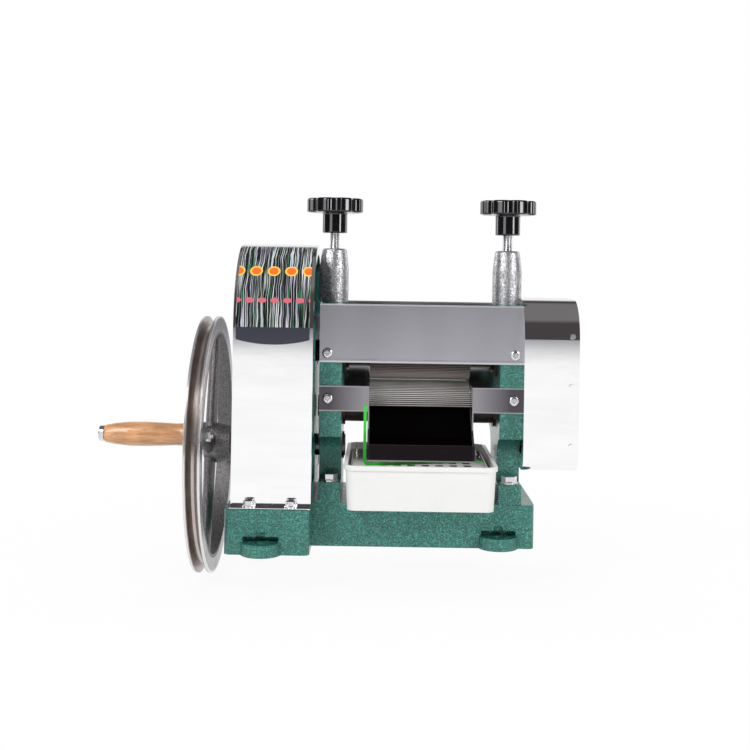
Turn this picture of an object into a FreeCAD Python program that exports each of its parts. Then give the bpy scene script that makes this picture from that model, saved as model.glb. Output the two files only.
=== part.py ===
import FreeCAD, Part
import math
import os

os.makedirs("parts", exist_ok=True)

# Hand cranked sugarcane juicer. Millimetres, +Z up, -Y to the front, where the tray and the chute are.
# The origin is in the middle of the bench bolt holes, on the face that lies on the bench.

V = FreeCAD.Vector

# Clearances and sheet
running_gap = 0.05
slide_gap = 0.3
sheet = 1.2
bolt_gap = 0.3
press_gap = 0.02
drill_gap = 0.1
thread_beyond_nut = 2.0
washer_share = 0.68
overcut = 1.0
through = 5.0

# Base casting
base_length = 350.0
base_height = 50.0
block_length = 95.0
block_depth = 224.0
bar_depth = 128.0
base_corner = 7.0
casting_wall = 10.0
base_rib = 9.0
lug_spacing = 268.0
lug_radius = 23.0
lug_inset = 6.0
lug_thickness = 14.0
lug_hole_r = 5.5
lug_hole_out = 2.0
lug_relief_r = 20.0
lug_relief_height = 6.0

# Standards
frame_thickness = 26.0
frame_gap = 181.4
frame_centre_x = 42.8
frame_top = 278.0
frame_corner = 10.0
foot_height = 23.0
waist_radius = 25.0
waist_height = 52.0
gear_frame_step = 5.2
gear_frame_top = 262.0
gear_frame_thickness = 25.5
foot_bolt_inset = 12.0
foot_bolt_r = 5.0
foot_bolt_depth = 42.0
foot_bolt_across = 16.0
foot_bolt_head = 6.4
window_width = 50.0
window_room_above = 6.0
window_corner_low = 1.0
window_corner_high = 6.0
shaft_slot_room = 4.0

# Rollers and their bearings
roller_r = 32.5
roller_length = 118.5
roller_nip = 1.0
lower_axis_z = 153.5
flutes = 80
flute_depth = 1.1
journal_r = 13.0
shoulder_r = 18.0
bush_wall = 5.0
bush_flange_r = 22.0
bush_flange = 3.0
block_below = 25.0
block_above = 32.0
block_flange = 3.0
block_flange_lip = 6.0
lift_travel = 3.5
crank_beyond_frame = 3.4
retaining_ring_width = 1.8
retaining_ring_out = 3.0
retaining_ring_groove = 1.5
retaining_ring_split = 4.0
shaft_beyond_ring = 1.6

# Gears
pressure_angle = math.radians(20.0)
dedendum = 1.25
flank_steps = 3
backlash = 0.3
roller_gear_teeth = 22
roller_gear_width = 20.0
roller_gear_out = 3.5
roller_gear_step = 3.0
roller_gear_hub_gap = 0.6
stub_washer_r = 15.0
stub_nut_across = 24.0
pinion_teeth = 19
pinion_width = 18.0
big_gear_teeth = 56
big_gear_width = 16.0
crank_module = 3.0
gear_seat_r = 12.0
gear_hub_r = 20.0
big_gear_hub_r = 26.0
big_gear_web = 7.0
big_gear_rim = 9.0
big_gear_holes = 5
big_gear_hole_r = 13.0
big_gear_x = -143.0
big_gear_hub_left = 10.0
big_gear_hub_right = 14.0
end_bolt_across = 18.0
end_bolt_head = 7.5
end_bolt_depth = 22.0
end_bolt_hole = 24.0
key_width = 8.0
key_height = 7.0
key_gap = 0.1
key_sunk = 0.55
key_inset = 3.0
key_run_out = 5.0
pinion_key_left = 7.0
pinion_key_right = 12.0
wheel_key_inset = 4.0

# Handwheel and grip
wheel_x = -206.3
wheel_r = 151.5
wheel_width = 18.4
wheel_rim_depth = 21.0
wheel_groove_depth = 11.0
wheel_lip = 3.2
wheel_groove_floor = 3.6
wheel_spokes = 4
spoke_tilt = math.radians(13.1)
wheel_hub_r = 24.0
wheel_hub_out = 6.0
wheel_hub_in = 25.0
wheel_hub_draft = 3.0
spoke_root_half = (14.5, 7.0)
spoke_tip_half = (9.5, 5.2)
spoke_overlap = 2.0
spoke_root_in = 6.0
wheel_washer_r = 16.0
wheel_nut_across = 24.0
crank_end_r = 8.0
crank_nut_height = 10.0
grip_inset = 45.5
grip_boss_r = 14.0
grip_boss_sink = 1.0
grip_r = 13.5
grip_length = 93.0
grip_bolt_r = 4.0
grip_head_height = 6.0
grip_head_r = 8.6
grip_head_chamfer = 1.4
grip_head_across = 16.0
grip_bolt_beyond = 8.0
grip_washer_r = 10.0
grip_nut_height = 6.5
grip_nut_across = 13.0
washer = 2.0

# Pressure screws, posts and star knobs
screw_r = 6.0
screw_neck_r = 4.0
screw_in_block = 12.0
pin_r = 2.0
post_foot_r = 17.4
post_top_r = 15.0
post_height = 64.0
post_taper_from = 40.0
post_shoulder = 3.0
post_shoulder_steps = 4
post_bore_gap = 0.6
knob_hub_r = 14.8
knob_hub_height = 24.4
knob_gap = 18.6
star_r = 33.8
star_height = 18.0
star_rim = 1.6
star_lobes = 7
star_scallop_r = 9.0
star_scallop_at = 37.5
star_edge = 3.0
screw_in_knob = 6.0

# Gear cover on the left
cover_width = 90.0
cover_right_x = -80.0
cover_half_depth = 95.0
cover_top = 346.0
cover_flange = 14.0
cover_lip = 12.0
cover_screw_spacing = 47.0
cover_screw_centre = -125.5
cover_screw_depth = 16.0
cover_screw_across = 10.0
cover_screw_head = 5.2
shaft_hole_gap = 4.0

# Roller gear cover on the right
end_cover_width = 62.5
end_cover_half_depth = 78.0
end_cover_bottom = 90.0
end_cover_top = 286.0
end_cover_top_r = 45.0
end_cover_bottom_r = 20.0
end_plate_recess = 1.5
end_plate_flange = 12.0
end_cover_lip = 18.0
rivet_r = 3.2
rivet_shank_r = 1.6
rivet_low_z = 120.0
rivet_mid_z = 188.0
rivet_high_z = 245.0
rivet_inset = 6.5
rivet_head = 1.4
rivet_tail = 0.8
end_screw_depth = 14.0
end_screw_in = 4.5
end_screw_up = 50.0
end_screw_down = 55.0
end_screw_head = 4.0
end_screw_across = 8.0

# Front and rear sheets
shield_bottom = 211.0
shield_hem = 3.5
shield_screw_inset = 9.0
shield_screw_up = 10.5
sheet_screw_r = 3.0
sheet_screw_head_r = 6.0
sheet_screw_head = 3.15
sheet_screw_round = 1.9
sheet_screw_depth = 16.0
sheet_screw_short = 0.5
guide_screw_up = 16.0
wing_bottom = 155.0
wing_top = 184.0
wing_gap = 118.2
wing_screw_inset = 10.0
chute_sheet = 1.5
chute_start = (-34.6, 158.0)
chute_fold = (-86.0, 120.0)
chute_lip = (-92.0, 104.0)
guide_floor_z = 180.5
guide_mouth = (118.0, 196.0)
guide_top_gap = 2.0
guide_flare = 8.0
guide_wing_bottom = 166.0
guide_start_y = 34.0

# Juice tray and strainer
tray_half_width = 86.0
tray_half_depth = 91.5
tray_centre_y = -20.5
tray_height = 50.0
tray_wall = 2.5
tray_draft = 2.4
tray_rib_top = 34.0
tray_rib_width = 6.0
tray_rib_reach = 4.0
tray_rib_spread = 0.72
tray_lip = 1.6
tray_rim_height = 5.0
tray_corner = 14.0
strainer_sheet = 1.0
strainer_wall = 8.0
strainer_gap = 0.5
strainer_columns = 8
strainer_rows = 8
strainer_hole = 9.0
strainer_margin = 12.0

# Green strip below the left wing
strip_width = 3.4
strip_thickness = 1.5
strip_beside_chute = 2.8
strip_from_right_wing = 15.0
strip_above_strainer = 4.0
strip_overlap = 7.0
strip_tip = 1.4

# Places worked out from the sizes above
base_left = -base_length / 2
base_right = base_length / 2
block_right = base_left + block_length
half_bar = bar_depth / 2
half_block = block_depth / 2
left_in = frame_centre_x - frame_gap / 2
left_out = left_in - frame_thickness
right_in = frame_centre_x + frame_gap / 2
right_out = right_in + frame_thickness
left_mid = (left_in + left_out) / 2
right_mid = (right_in + right_out) / 2
gear_frame_in = left_out - gear_frame_step
gear_frame_out = gear_frame_in - gear_frame_thickness
gear_frame_mid = (gear_frame_in + gear_frame_out) / 2
foot_top = base_height + foot_height
roller_centres = 2 * roller_r + roller_nip
upper_axis_z = lower_axis_z + roller_centres
crank_centres = crank_module * (pinion_teeth + big_gear_teeth) / 2
crank_z = upper_axis_z - crank_centres
roller_gear_module = roller_centres / roller_gear_teeth
roller_seat_start = right_out + roller_gear_out - roller_gear_step
roller_left = frame_centre_x - roller_length / 2
roller_right = frame_centre_x + roller_length / 2
bush_r = journal_r + bush_wall
block_bottom = upper_axis_z - block_below
block_top = upper_axis_z + block_above
window_bottom = block_bottom - slide_gap
window_top = block_top + lift_travel + window_room_above
crank_x_end = left_in + crank_beyond_frame
roller_gear_x = right_out + roller_gear_out + roller_gear_width / 2
roller_gear_start = roller_gear_x - roller_gear_width / 2
roller_gear_end = roller_gear_x + roller_gear_width / 2
big_gear_left = big_gear_x - big_gear_hub_left
big_gear_right = big_gear_x + big_gear_hub_right
wheel_hub_face = wheel_x - wheel_hub_out
wheel_hub_back = wheel_x + wheel_hub_in
wheel_rim_left = wheel_x - wheel_width / 2
wheel_rim_right = wheel_x + wheel_width / 2
crank_thread_end = wheel_hub_face - washer - crank_nut_height - thread_beyond_nut
cover_left_x = cover_right_x - cover_width
cover_arch_z = cover_top - cover_half_depth
end_cover_left = right_out
end_cover_right = right_out + end_cover_width
rivet_x = end_cover_right - end_plate_recess - rivet_inset
wing_left_x = frame_centre_x - wing_gap / 2
wing_right_x = frame_centre_x + wing_gap / 2
grip_circle_r = wheel_r - grip_inset
grip_y = -grip_circle_r * math.cos(spoke_tilt)
grip_z = crank_z + grip_circle_r * math.sin(spoke_tilt)
grip_boss_face = wheel_rim_left + grip_boss_sink
grip_boss_back = wheel_rim_right - grip_boss_sink
grip_in = grip_boss_face - washer - slide_gap
grip_out = grip_in - grip_length
post_top = frame_top + post_height
knob_bottom = post_top + knob_gap
star_bottom = knob_bottom + knob_hub_height
star_top = star_bottom + star_height
tray_bottom = base_height
tray_top = tray_bottom + tray_height
strip_x = wing_left_x - chute_sheet - strip_beside_chute
strip_end_x = wing_right_x + strip_from_right_wing
strip_bottom_z = tray_bottom + tray_rib_top + strainer_sheet + strip_above_strainer


def box(x0, x1, y0, y1, z0, z1):
    """A block between two corners."""
    return Part.makeBox(x1 - x0, y1 - y0, z1 - z0, V(x0, y0, z0))


def rod_x(x0, x1, y, z, r):
    """A round bar along X."""
    return Part.makeCylinder(r, x1 - x0, V(x0, y, z), V(1, 0, 0))


def rod_y(y0, y1, x, z, r):
    """A round bar along Y."""
    return Part.makeCylinder(r, y1 - y0, V(x, y0, z), V(0, 1, 0))


def rod_z(z0, z1, x, y, r):
    """A round bar along Z."""
    return Part.makeCylinder(r, z1 - z0, V(x, y, z0), V(0, 0, 1))


def loop_face(points):
    """A flat face with straight sides."""
    return Part.Face(Part.makePolygon(list(points) + [points[0]]))


def in_yz(x, points):
    """Points given as (y, z) pairs, placed at one x."""
    return [V(x, y, z) for y, z in points]


def rounded_edges(u0, u1, v0, v1, r_low, r_high, place):
    """A rectangle's outline with rounded corners: one radius for its low side, one for its high side."""
    half = math.sqrt(0.5)
    corners = (
        (u1 - r_low, v0 + r_low, 1, -1, r_low),
        (u1 - r_high, v1 - r_high, 1, 1, r_high),
        (u0 + r_high, v1 - r_high, -1, 1, r_high),
        (u0 + r_low, v0 + r_low, -1, -1, r_low),
    )
    edges = []
    starts = []
    ends = []
    for cu, cv, su, sv, r in corners:
        side = place(cu + su * r, cv)
        level = place(cu, cv + sv * r)
        first, last = (level, side) if su * sv < 0 else (side, level)
        middle = place(cu + su * r * half, cv + sv * r * half)
        edges.append(Part.Arc(first, middle, last).toShape())
        starts.append(first)
        ends.append(last)
    for i in range(4):
        edges.append(Part.makeLine(ends[i], starts[(i + 1) % 4]))
    return Part.Wire(Part.sortEdges(edges)[0])


def rounded_yz(x, y0, y1, z0, z1, r_low, r_high):
    return rounded_edges(y0, y1, z0, z1, r_low, r_high, lambda y, z: V(x, y, z))


def rounded_xy(z, x0, x1, y0, y1, r):
    return rounded_edges(x0, x1, y0, y1, r, r, lambda x, y: V(x, y, z))


def slab_x(wire, thickness):
    return Part.Face(wire).extrude(V(thickness, 0, 0))


def slab_z(wire, thickness):
    return Part.Face(wire).extrude(V(0, 0, thickness))


def hex_x(x0, x1, y, z, across):
    """A hexagon bar along X, by its width across flats."""
    r = across / math.sqrt(3)
    angles = [math.radians(60 * i + 30) for i in range(6)]
    ring = in_yz(x0, [(y + r * math.cos(a), z + r * math.sin(a)) for a in angles])
    return loop_face(ring).extrude(V(x1 - x0, 0, 0))


def hex_z(z0, z1, x, y, across):
    """A hexagon bar along Z, by its width across flats."""
    r = across / math.sqrt(3)
    angles = [math.radians(60 * i) for i in range(6)]
    ring = [V(x + r * math.cos(a), y + r * math.sin(a), z0) for a in angles]
    return loop_face(ring).extrude(V(0, 0, z1 - z0))


def turned_x(profile, y, z):
    """A turned piece about an X axis, from (x, radius) points."""
    face = loop_face([V(x, y, z + r) for x, r in profile])
    return face.revolve(V(0, y, z), V(1, 0, 0), 360)


def turned_z(profile, x, y):
    """A turned piece about a Z axis, from (radius, z) points."""
    face = loop_face([V(x + r, y, z) for r, z in profile])
    return face.revolve(V(x, y, 0), V(0, 0, 1), 360)


def bolt_down(x, y, z_seat, depth, shank_r, across, head):
    """A hexagon bolt that points down, with its washer under the head."""
    shank = rod_z(z_seat - depth, z_seat + washer, x, y, shank_r)
    ring = rod_z(z_seat, z_seat + washer, x, y, across * washer_share)
    cap = hex_z(z_seat + washer, z_seat + washer + head, x, y, across)
    return shank.fuse([ring, cap]).removeSplitter()


def pan_screw(x, y_face, z, outward, depth):
    """A pan head screw driven into a face at y_face, with its head outward along Y."""
    head = sheet_screw_head
    if outward < 0:
        body = rod_y(y_face, y_face + depth, x, z, sheet_screw_r)
        cap = rod_y(y_face - head, y_face, x, z, sheet_screw_head_r)
    else:
        body = rod_y(y_face - depth, y_face, x, z, sheet_screw_r)
        cap = rod_y(y_face, y_face + head, x, z, sheet_screw_head_r)
    rim = max if outward > 0 else min
    outer = [e for e in cap.Edges if abs(e.BoundBox.YMin - rim(cap.BoundBox.YMin, cap.BoundBox.YMax)) < 1e-6
             and abs(e.BoundBox.YMax - e.BoundBox.YMin) < 1e-6]
    cap = cap.makeFillet(sheet_screw_round, outer)
    return body.fuse(cap).removeSplitter()


def export(name, shape):
    """Write one piece, or a group of like pieces, and say its size."""
    shape.exportStep("parts/" + name + ".step")
    ends = shape.BoundBox
    print("%-24s solids %2d volume %9.0f  x %7.1f %7.1f  y %7.1f %7.1f  z %6.1f %6.1f valid %s" % (
        name, len(shape.Solids), shape.Volume, ends.XMin, ends.XMax, ends.YMin, ends.YMax,
        ends.ZMin, ends.ZMax, shape.isValid()))


# Involute gears

def involute(angle):
    return math.tan(angle) - angle


def gear_outline(x, z, teeth, module, first_tooth):
    """Points of a spur gear's outline in the plane at x. A tooth's centre is at the angle first_tooth."""
    pitch_r = module * teeth / 2
    base_r = pitch_r * math.cos(pressure_angle)
    tip_r = pitch_r + module
    root_r = pitch_r - dedendum * module
    half_at_pitch = math.pi / (2 * teeth) - backlash / (2 * pitch_r)
    flank = []
    for i in range(flank_steps + 1):
        r = root_r + (tip_r - root_r) * i / flank_steps
        roll = math.acos(min(1.0, base_r / r))
        flank.append((r, half_at_pitch + involute(pressure_angle) - involute(roll)))
    points = []
    for tooth in range(teeth):
        centre = first_tooth + 2 * math.pi * tooth / teeth
        for r, half in flank:
            points.append((r * math.cos(centre - half), z + r * math.sin(centre - half)))
        for r, half in reversed(flank):
            points.append((r * math.cos(centre + half), z + r * math.sin(centre + half)))
    return in_yz(x, points)


def gear(x_mid, width, z, teeth, module, first_tooth):
    """A solid gear disc with all its teeth."""
    outline = gear_outline(x_mid - width / 2, z, teeth, module, first_tooth)
    return loop_face(outline).extrude(V(width, 0, 0))


def key_box(x0, x1, z, seat_r, grow):
    """The space of a sunk key on top of a shaft."""
    low = z + seat_r - key_height * key_sunk
    return box(x0 - grow, x1 + grow, -key_width / 2 - grow, key_width / 2 + grow, low - grow,
               low + key_height + grow)


# Base

def lug_places():
    """The four bench lugs: hole x, the y of the face that carries the lug, and its outward sign."""
    half = lug_spacing / 2
    return [(-half, half_block, s) for s in (-1, 1)] + [(half, half_bar, s) for s in (-1, 1)]


def make_base():
    block = slab_z(rounded_xy(0, base_left, block_right, -half_block, half_block, base_corner), base_height)
    bar_left = base_left + base_corner * 2
    bar = slab_z(rounded_xy(0, bar_left, base_right, -half_bar, half_bar, base_corner), base_height)
    body = block.fuse(bar)
    wall = casting_wall
    rib = base_rib
    deck = base_height - casting_wall
    pocket_end = right_in - 2 * wall
    bar_pocket = slab_z(rounded_xy(0, left_in + wall, pocket_end, -half_bar + wall, half_bar - wall,
                                   base_corner), deck)
    for x in (0.0, pocket_end / 2):
        bar_pocket = bar_pocket.cut(box(x - rib / 2, x + rib / 2, -half_bar, half_bar, -1, deck))
    block_pocket = slab_z(rounded_xy(0, base_left + wall, gear_frame_out - wall, -half_block + 3 * wall,
                                     half_block - 3 * wall, base_corner), deck)
    body = body.cut([bar_pocket, block_pocket])
    lugs = []
    reliefs = []
    holes = []
    for x, face, sign in lug_places():
        lugs.append(rod_z(0, lug_thickness, x, sign * (face - lug_inset), lug_radius))
        y = sign * (face + lug_hole_out)
        reliefs.append(rod_z(lug_thickness, lug_thickness + lug_relief_height, x, y, lug_relief_r))
        holes.append(rod_z(-1, base_height / 2, x, y, lug_hole_r))
    body = body.cut(reliefs).fuse(lugs).cut(holes)
    bolts = [rod_z(foot_top - foot_bolt_depth, base_height + 1, x, y, foot_bolt_r)
             for x, y in foot_bolt_places()]
    screws = [rod_z(base_height - cover_screw_depth, base_height + 1, x, y, sheet_screw_r)
              for x, y in cover_screw_places()]
    return body.cut(bolts + screws).removeSplitter()


# Standards

def foot_bolt_places():
    y = half_bar - foot_bolt_inset
    return [(x, s * y) for x in (gear_frame_mid, left_mid, right_mid) for s in (-1, 1)]


def standard_plate(x, thickness, top):
    """A standard seen from the side: foot, waist above the foot bolts, and upright with rounded corners."""
    waist_mid = foot_top + waist_height - waist_radius
    waist_top = foot_top + waist_height
    r = frame_corner
    half = math.sqrt(0.5)
    y = half_bar
    waist = y - waist_radius
    bend = waist_radius * (1 - half)

    def at(a, b):
        return V(x, a, b)

    edges = [
        Part.makeLine(at(-y, base_height), at(y, base_height)),
        Part.makeLine(at(y, base_height), at(y, foot_top)),
        Part.makeLine(at(y, foot_top), at(waist, foot_top)),
        Part.makeLine(at(waist, foot_top), at(waist, waist_mid)),
        Part.Arc(at(waist, waist_mid), at(waist + bend, waist_top - bend), at(y, waist_top)).toShape(),
        Part.makeLine(at(y, waist_top), at(y, top - r)),
        Part.Arc(at(y, top - r), at(y - r + r * half, top - r + r * half), at(y - r, top)).toShape(),
        Part.makeLine(at(y - r, top), at(-y + r, top)),
        Part.Arc(at(-y + r, top), at(-y + r - r * half, top - r + r * half), at(-y, top - r)).toShape(),
        Part.makeLine(at(-y, top - r), at(-y, waist_top)),
        Part.Arc(at(-y, waist_top), at(-waist - bend, waist_top - bend), at(-waist, waist_mid)).toShape(),
        Part.makeLine(at(-waist, waist_mid), at(-waist, foot_top)),
        Part.makeLine(at(-waist, foot_top), at(-y, foot_top)),
        Part.makeLine(at(-y, foot_top), at(-y, base_height)),
    ]
    return Part.Face(Part.Wire(edges)).extrude(V(thickness, 0, 0))


def make_roller_frame(x0, with_crank):
    """A standard that carries the rollers: bush bore, block window, screw hole and sheet screw holes."""
    x1 = x0 + frame_thickness
    middle = (x0 + x1) / 2
    plate = standard_plate(x0, frame_thickness, frame_top)
    half = window_width / 2
    cuts = [
        rod_x(x0 - 1, x1 + 1, 0, lower_axis_z, bush_r),
        slab_x(rounded_yz(x0 - 1, -half, half, window_bottom, window_top, window_corner_low,
                          window_corner_high), frame_thickness + 2),
        rod_z(window_top - 1, frame_top + 1, middle, 0, screw_r + running_gap),
    ]
    if with_crank:
        cuts.append(rod_x(x0 - 1, x1 + 1, 0, crank_z, bush_r))
    for y in (-half_bar + foot_bolt_inset, half_bar - foot_bolt_inset):
        cuts.append(rod_z(base_height - 1, foot_top + 1, middle, y, foot_bolt_r + bolt_gap))
    outer = x0 if with_crank else x1
    inward = 1 if with_crank else -1
    for face, way in ((-half_bar, 1), (half_bar, -1)):
        for inset, z in sheet_screw_levels(way):
            low, high = sorted((face - way, face + way * sheet_screw_depth))
            cuts.append(rod_y(low, high, outer + inward * inset, z, sheet_screw_r))
    if not with_crank:
        for y, z in end_cover_screw_places():
            cuts.append(rod_x(x1 - end_screw_depth, x1 + 1, y, z, sheet_screw_r))
    return plate.cut(cuts).removeSplitter()


def make_gear_frame():
    """The third standard, beside the left one: it steadies the crank shaft and the upper roller passes it."""
    x0 = gear_frame_out
    x1 = gear_frame_in
    plate = standard_plate(x0, gear_frame_thickness, gear_frame_top)
    room = journal_r + slide_gap + shaft_slot_room
    slot = slab_x(rounded_yz(x0 - 1, -room, room, upper_axis_z - room, upper_axis_z + room + lift_travel,
                             room - 0.5, room - 0.5), gear_frame_thickness + 2)
    cuts = [slot, rod_x(x0 - 1, x1 + 1, 0, crank_z, bush_r)]
    for y in (-half_bar + foot_bolt_inset, half_bar - foot_bolt_inset):
        cuts.append(rod_z(base_height - 1, foot_top + 1, gear_frame_mid, y, foot_bolt_r + bolt_gap))
    return plate.cut(cuts).removeSplitter()


def make_foot_bolts():
    bolts = [bolt_down(x, y, foot_top, foot_bolt_depth, foot_bolt_r, foot_bolt_across, foot_bolt_head)
             for x, y in foot_bolt_places()]
    return Part.makeCompound(bolts)


# Bearings

def make_bush(x_face, inward, z, length, shaft_r):
    """A flanged bush. x_face is the roller side of its seat, and the flange lies on that side."""
    tube_end = x_face - inward * length
    flange_end = x_face + inward * bush_flange
    low, high = sorted((tube_end, x_face))
    tube = rod_x(low, high, 0, z, bush_r)
    low, high = sorted((x_face, flange_end))
    flange = rod_x(low, high, 0, z, bush_flange_r)
    low, high = sorted((tube_end, flange_end))
    bore = rod_x(low - 1, high + 1, 0, z, shaft_r + running_gap)
    return tube.fuse(flange).cut(bore).removeSplitter()


def make_crank_bush(x_out, length, flange):
    """A bush for the crank shaft, with its flange, where it has one, on the handwheel side."""
    tube = rod_x(x_out, x_out + length, 0, crank_z, bush_r)
    if flange:
        tube = tube.fuse(rod_x(x_out - flange, x_out, 0, crank_z, bush_flange_r))
    bore = rod_x(x_out - flange - 1, x_out + length + 1, 0, crank_z, journal_r + running_gap)
    return tube.cut(bore).removeSplitter()


def make_block(x_out, inward, middle):
    """A sliding bearing block with a lip on the roller side, a bush bore and a seat for the screw's end."""
    half = window_width / 2 - slide_gap
    x_in = x_out + inward * frame_thickness
    low, high = sorted((x_out, x_in))
    body = box(low, high, -half, half, block_bottom, block_top)
    low, high = sorted((x_in + inward * slide_gap, x_in + inward * (slide_gap + block_flange)))
    lip = box(low, high, -half - block_flange_lip, half + block_flange_lip, block_bottom, block_top)
    low, high = sorted((x_in, x_in + inward * (slide_gap + block_flange)))
    neck = box(low, high, -half, half, block_bottom, block_top)
    seat = rod_z(block_top - screw_in_block, block_top + 1, middle, 0, screw_r + running_gap)
    bore = rod_x(min(x_out, x_in) - 10, max(x_out, x_in) + 10, 0, upper_axis_z, bush_r)
    pin = rod_y(-half - 1, half + 1, pin_x(middle), pin_z(), pin_r)
    return body.fuse([lip, neck]).cut([seat, bore, pin]).removeSplitter()


def pin_x(middle):
    """The retaining pin lies beside the screw's neck."""
    return middle + screw_neck_r + slide_gap + pin_r


def pin_z():
    return block_top - screw_in_block / 2


# Rollers and shafts

def fluted_drum(x0, x1, z):
    """A drum with V flutes along its whole length."""
    points = []
    for i in range(2 * flutes):
        r = roller_r - flute_depth * (i % 2)
        a = math.pi * i / flutes
        points.append((r * math.cos(a), z + r * math.sin(a)))
    return loop_face(in_yz(x0, points)).extrude(V(x1 - x0, 0, 0))


def make_roller(z, left_shoulder, right_shoulder, left_end, left_seat):
    """A fluted drum on its turned shaft. The right end carries a gear seat and a threaded stub."""
    seat_start = roller_seat_start
    seat_end = roller_gear_end
    stub_end = seat_end + washer + crank_nut_height + thread_beyond_nut
    profile = [(left_end, 0), (left_end, left_seat[1]), (left_seat[0], left_seat[1]),
               (left_seat[0], journal_r), (left_shoulder, journal_r), (left_shoulder, shoulder_r),
               (right_shoulder, shoulder_r),
               (right_shoulder, journal_r), (seat_start, journal_r), (seat_start, gear_seat_r),
               (seat_end, gear_seat_r), (seat_end, crank_end_r), (stub_end, crank_end_r), (stub_end, 0)]
    shaft = turned_x(profile, 0, z)
    drum = fluted_drum(roller_left, roller_right, z)
    return drum.fuse(shaft).cut(make_roller_gear_key(z)).removeSplitter()


def make_roller_gear(z, first_tooth):
    start = roller_gear_start
    end = roller_gear_end + 1
    hub_start = right_out + roller_gear_hub_gap
    body = gear(roller_gear_x, roller_gear_width, z, roller_gear_teeth, roller_gear_module, first_tooth)
    hub = rod_x(hub_start, start, 0, z, gear_hub_r)
    bore = rod_x(hub_start - 1, end, 0, z, gear_seat_r + press_gap)
    wide = rod_x(hub_start - 1, roller_seat_start + drill_gap, 0, z, journal_r + slide_gap)
    slot = key_box(hub_start - 1, end, z, gear_seat_r, key_gap)
    return body.fuse(hub).cut([bore, wide, slot]).removeSplitter()


def make_roller_gear_key(z):
    return key_box(roller_seat_start + key_run_out, roller_gear_end - key_inset, z, gear_seat_r, 0.0)


def make_stub_nut(z):
    """A washer and a hexagon nut on a roller's threaded stub."""
    start = roller_gear_end
    end = start + washer + crank_nut_height
    ring = rod_x(start, start + washer, 0, z, stub_washer_r)
    nut = hex_x(start + washer, end, 0, z, stub_nut_across)
    bore = rod_x(start - 1, end + 1, 0, z, crank_end_r + press_gap)
    return ring.fuse(nut).cut(bore).removeSplitter()


def make_big_gear(first_tooth):
    """The large gear on the upper roller: rim, thin web with round windows, and hub."""
    z = upper_axis_z
    body = gear(big_gear_x, big_gear_width, z, big_gear_teeth, crank_module, first_tooth)
    root_r = crank_module * (big_gear_teeth / 2 - dedendum)
    rim_r = root_r - big_gear_rim
    side = (big_gear_width - big_gear_web) / 2
    cuts = []
    for x0 in (big_gear_x - big_gear_width / 2 - 1, big_gear_x + big_gear_width / 2 - side):
        ring = rod_x(x0, x0 + side + 1, 0, z, rim_r)
        cuts.append(ring.cut(rod_x(x0 - 1, x0 + side + 2, 0, z, big_gear_hub_r)))
    middle_r = (rim_r + big_gear_hub_r) / 2
    for i in range(big_gear_holes):
        a = 2 * math.pi * i / big_gear_holes + math.pi / 2
        cuts.append(rod_x(big_gear_left, big_gear_right, middle_r * math.cos(a),
                          z + middle_r * math.sin(a), big_gear_hole_r))
    hub = rod_x(big_gear_left, big_gear_right, 0, z, big_gear_hub_r)
    bore = rod_x(big_gear_left - 1, big_gear_right + 1, 0, z, gear_seat_r + press_gap)
    slot = key_box(big_gear_left - 1, big_gear_right + 1, z, gear_seat_r, key_gap)
    return body.cut(cuts).fuse(hub).cut([bore, slot]).removeSplitter()


def make_big_gear_key():
    return key_box(big_gear_left + key_inset, big_gear_right - key_inset, upper_axis_z, gear_seat_r, 0.0)


def make_big_gear_bolt():
    """The bolt and washer that hold the large gear on the end of the upper roller's shaft."""
    seat = big_gear_left - washer
    ring = rod_x(seat, big_gear_left, 0, upper_axis_z, gear_hub_r)
    head = hex_x(seat - end_bolt_head, seat, 0, upper_axis_z, end_bolt_across)
    shank = rod_x(seat, big_gear_left + end_bolt_depth, 0, upper_axis_z, screw_r)
    return ring.fuse([head, shank]).removeSplitter()


def make_pinion(first_tooth):
    """The crank pinion, with a long hub that runs up to the bush flange."""
    x0 = big_gear_x - pinion_width / 2
    hub_end = gear_frame_out - bush_flange - slide_gap
    body = gear(big_gear_x, pinion_width, crank_z, pinion_teeth, crank_module, first_tooth)
    hub = rod_x(x0, hub_end, 0, crank_z, gear_hub_r)
    bore = rod_x(x0 - 1, hub_end + 1, 0, crank_z, journal_r + press_gap)
    slot = key_box(x0 - 1, hub_end + 1, crank_z, journal_r, key_gap)
    return body.fuse(hub).cut([bore, slot]).removeSplitter()


def make_crank_shaft():
    """The shaft from the handwheel through two bushes, with its threaded end outside the wheel."""
    ring_x = left_in + slide_gap
    ring_end = ring_x + retaining_ring_width
    groove_r = journal_r - retaining_ring_groove
    profile = [(crank_thread_end, 0), (crank_thread_end, crank_end_r), (wheel_hub_face, crank_end_r),
               (wheel_hub_face, gear_seat_r), (wheel_hub_back, gear_seat_r), (wheel_hub_back, journal_r),
               (ring_x, journal_r), (ring_x, groove_r), (ring_end, groove_r), (ring_end, journal_r),
               (crank_x_end, journal_r), (crank_x_end, 0)]
    shaft = turned_x(profile, 0, crank_z)
    return shaft.cut([wheel_key_space(0.0), pinion_key_space(0.0)]).removeSplitter()


def wheel_key_space(grow):
    return key_box(wheel_hub_face + wheel_key_inset, wheel_hub_back - wheel_key_inset, crank_z, gear_seat_r,
                   grow)


def pinion_key_space(grow):
    return key_box(big_gear_x - pinion_key_left, big_gear_x + pinion_key_right, crank_z, journal_r, grow)


def retaining_ring(x0, z):
    """A snap ring that sits in a shaft's groove."""
    x1 = x0 + retaining_ring_width
    half = retaining_ring_split / 2
    ring_r = journal_r + retaining_ring_out
    ring = rod_x(x0, x1, 0, z, ring_r)
    gap = box(x0 - 1, x1 + 1, -half, half, z, z + ring_r + 1)
    return ring.cut([rod_x(x0 - 1, x1 + 1, 0, z, journal_r - retaining_ring_groove), gap])


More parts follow.
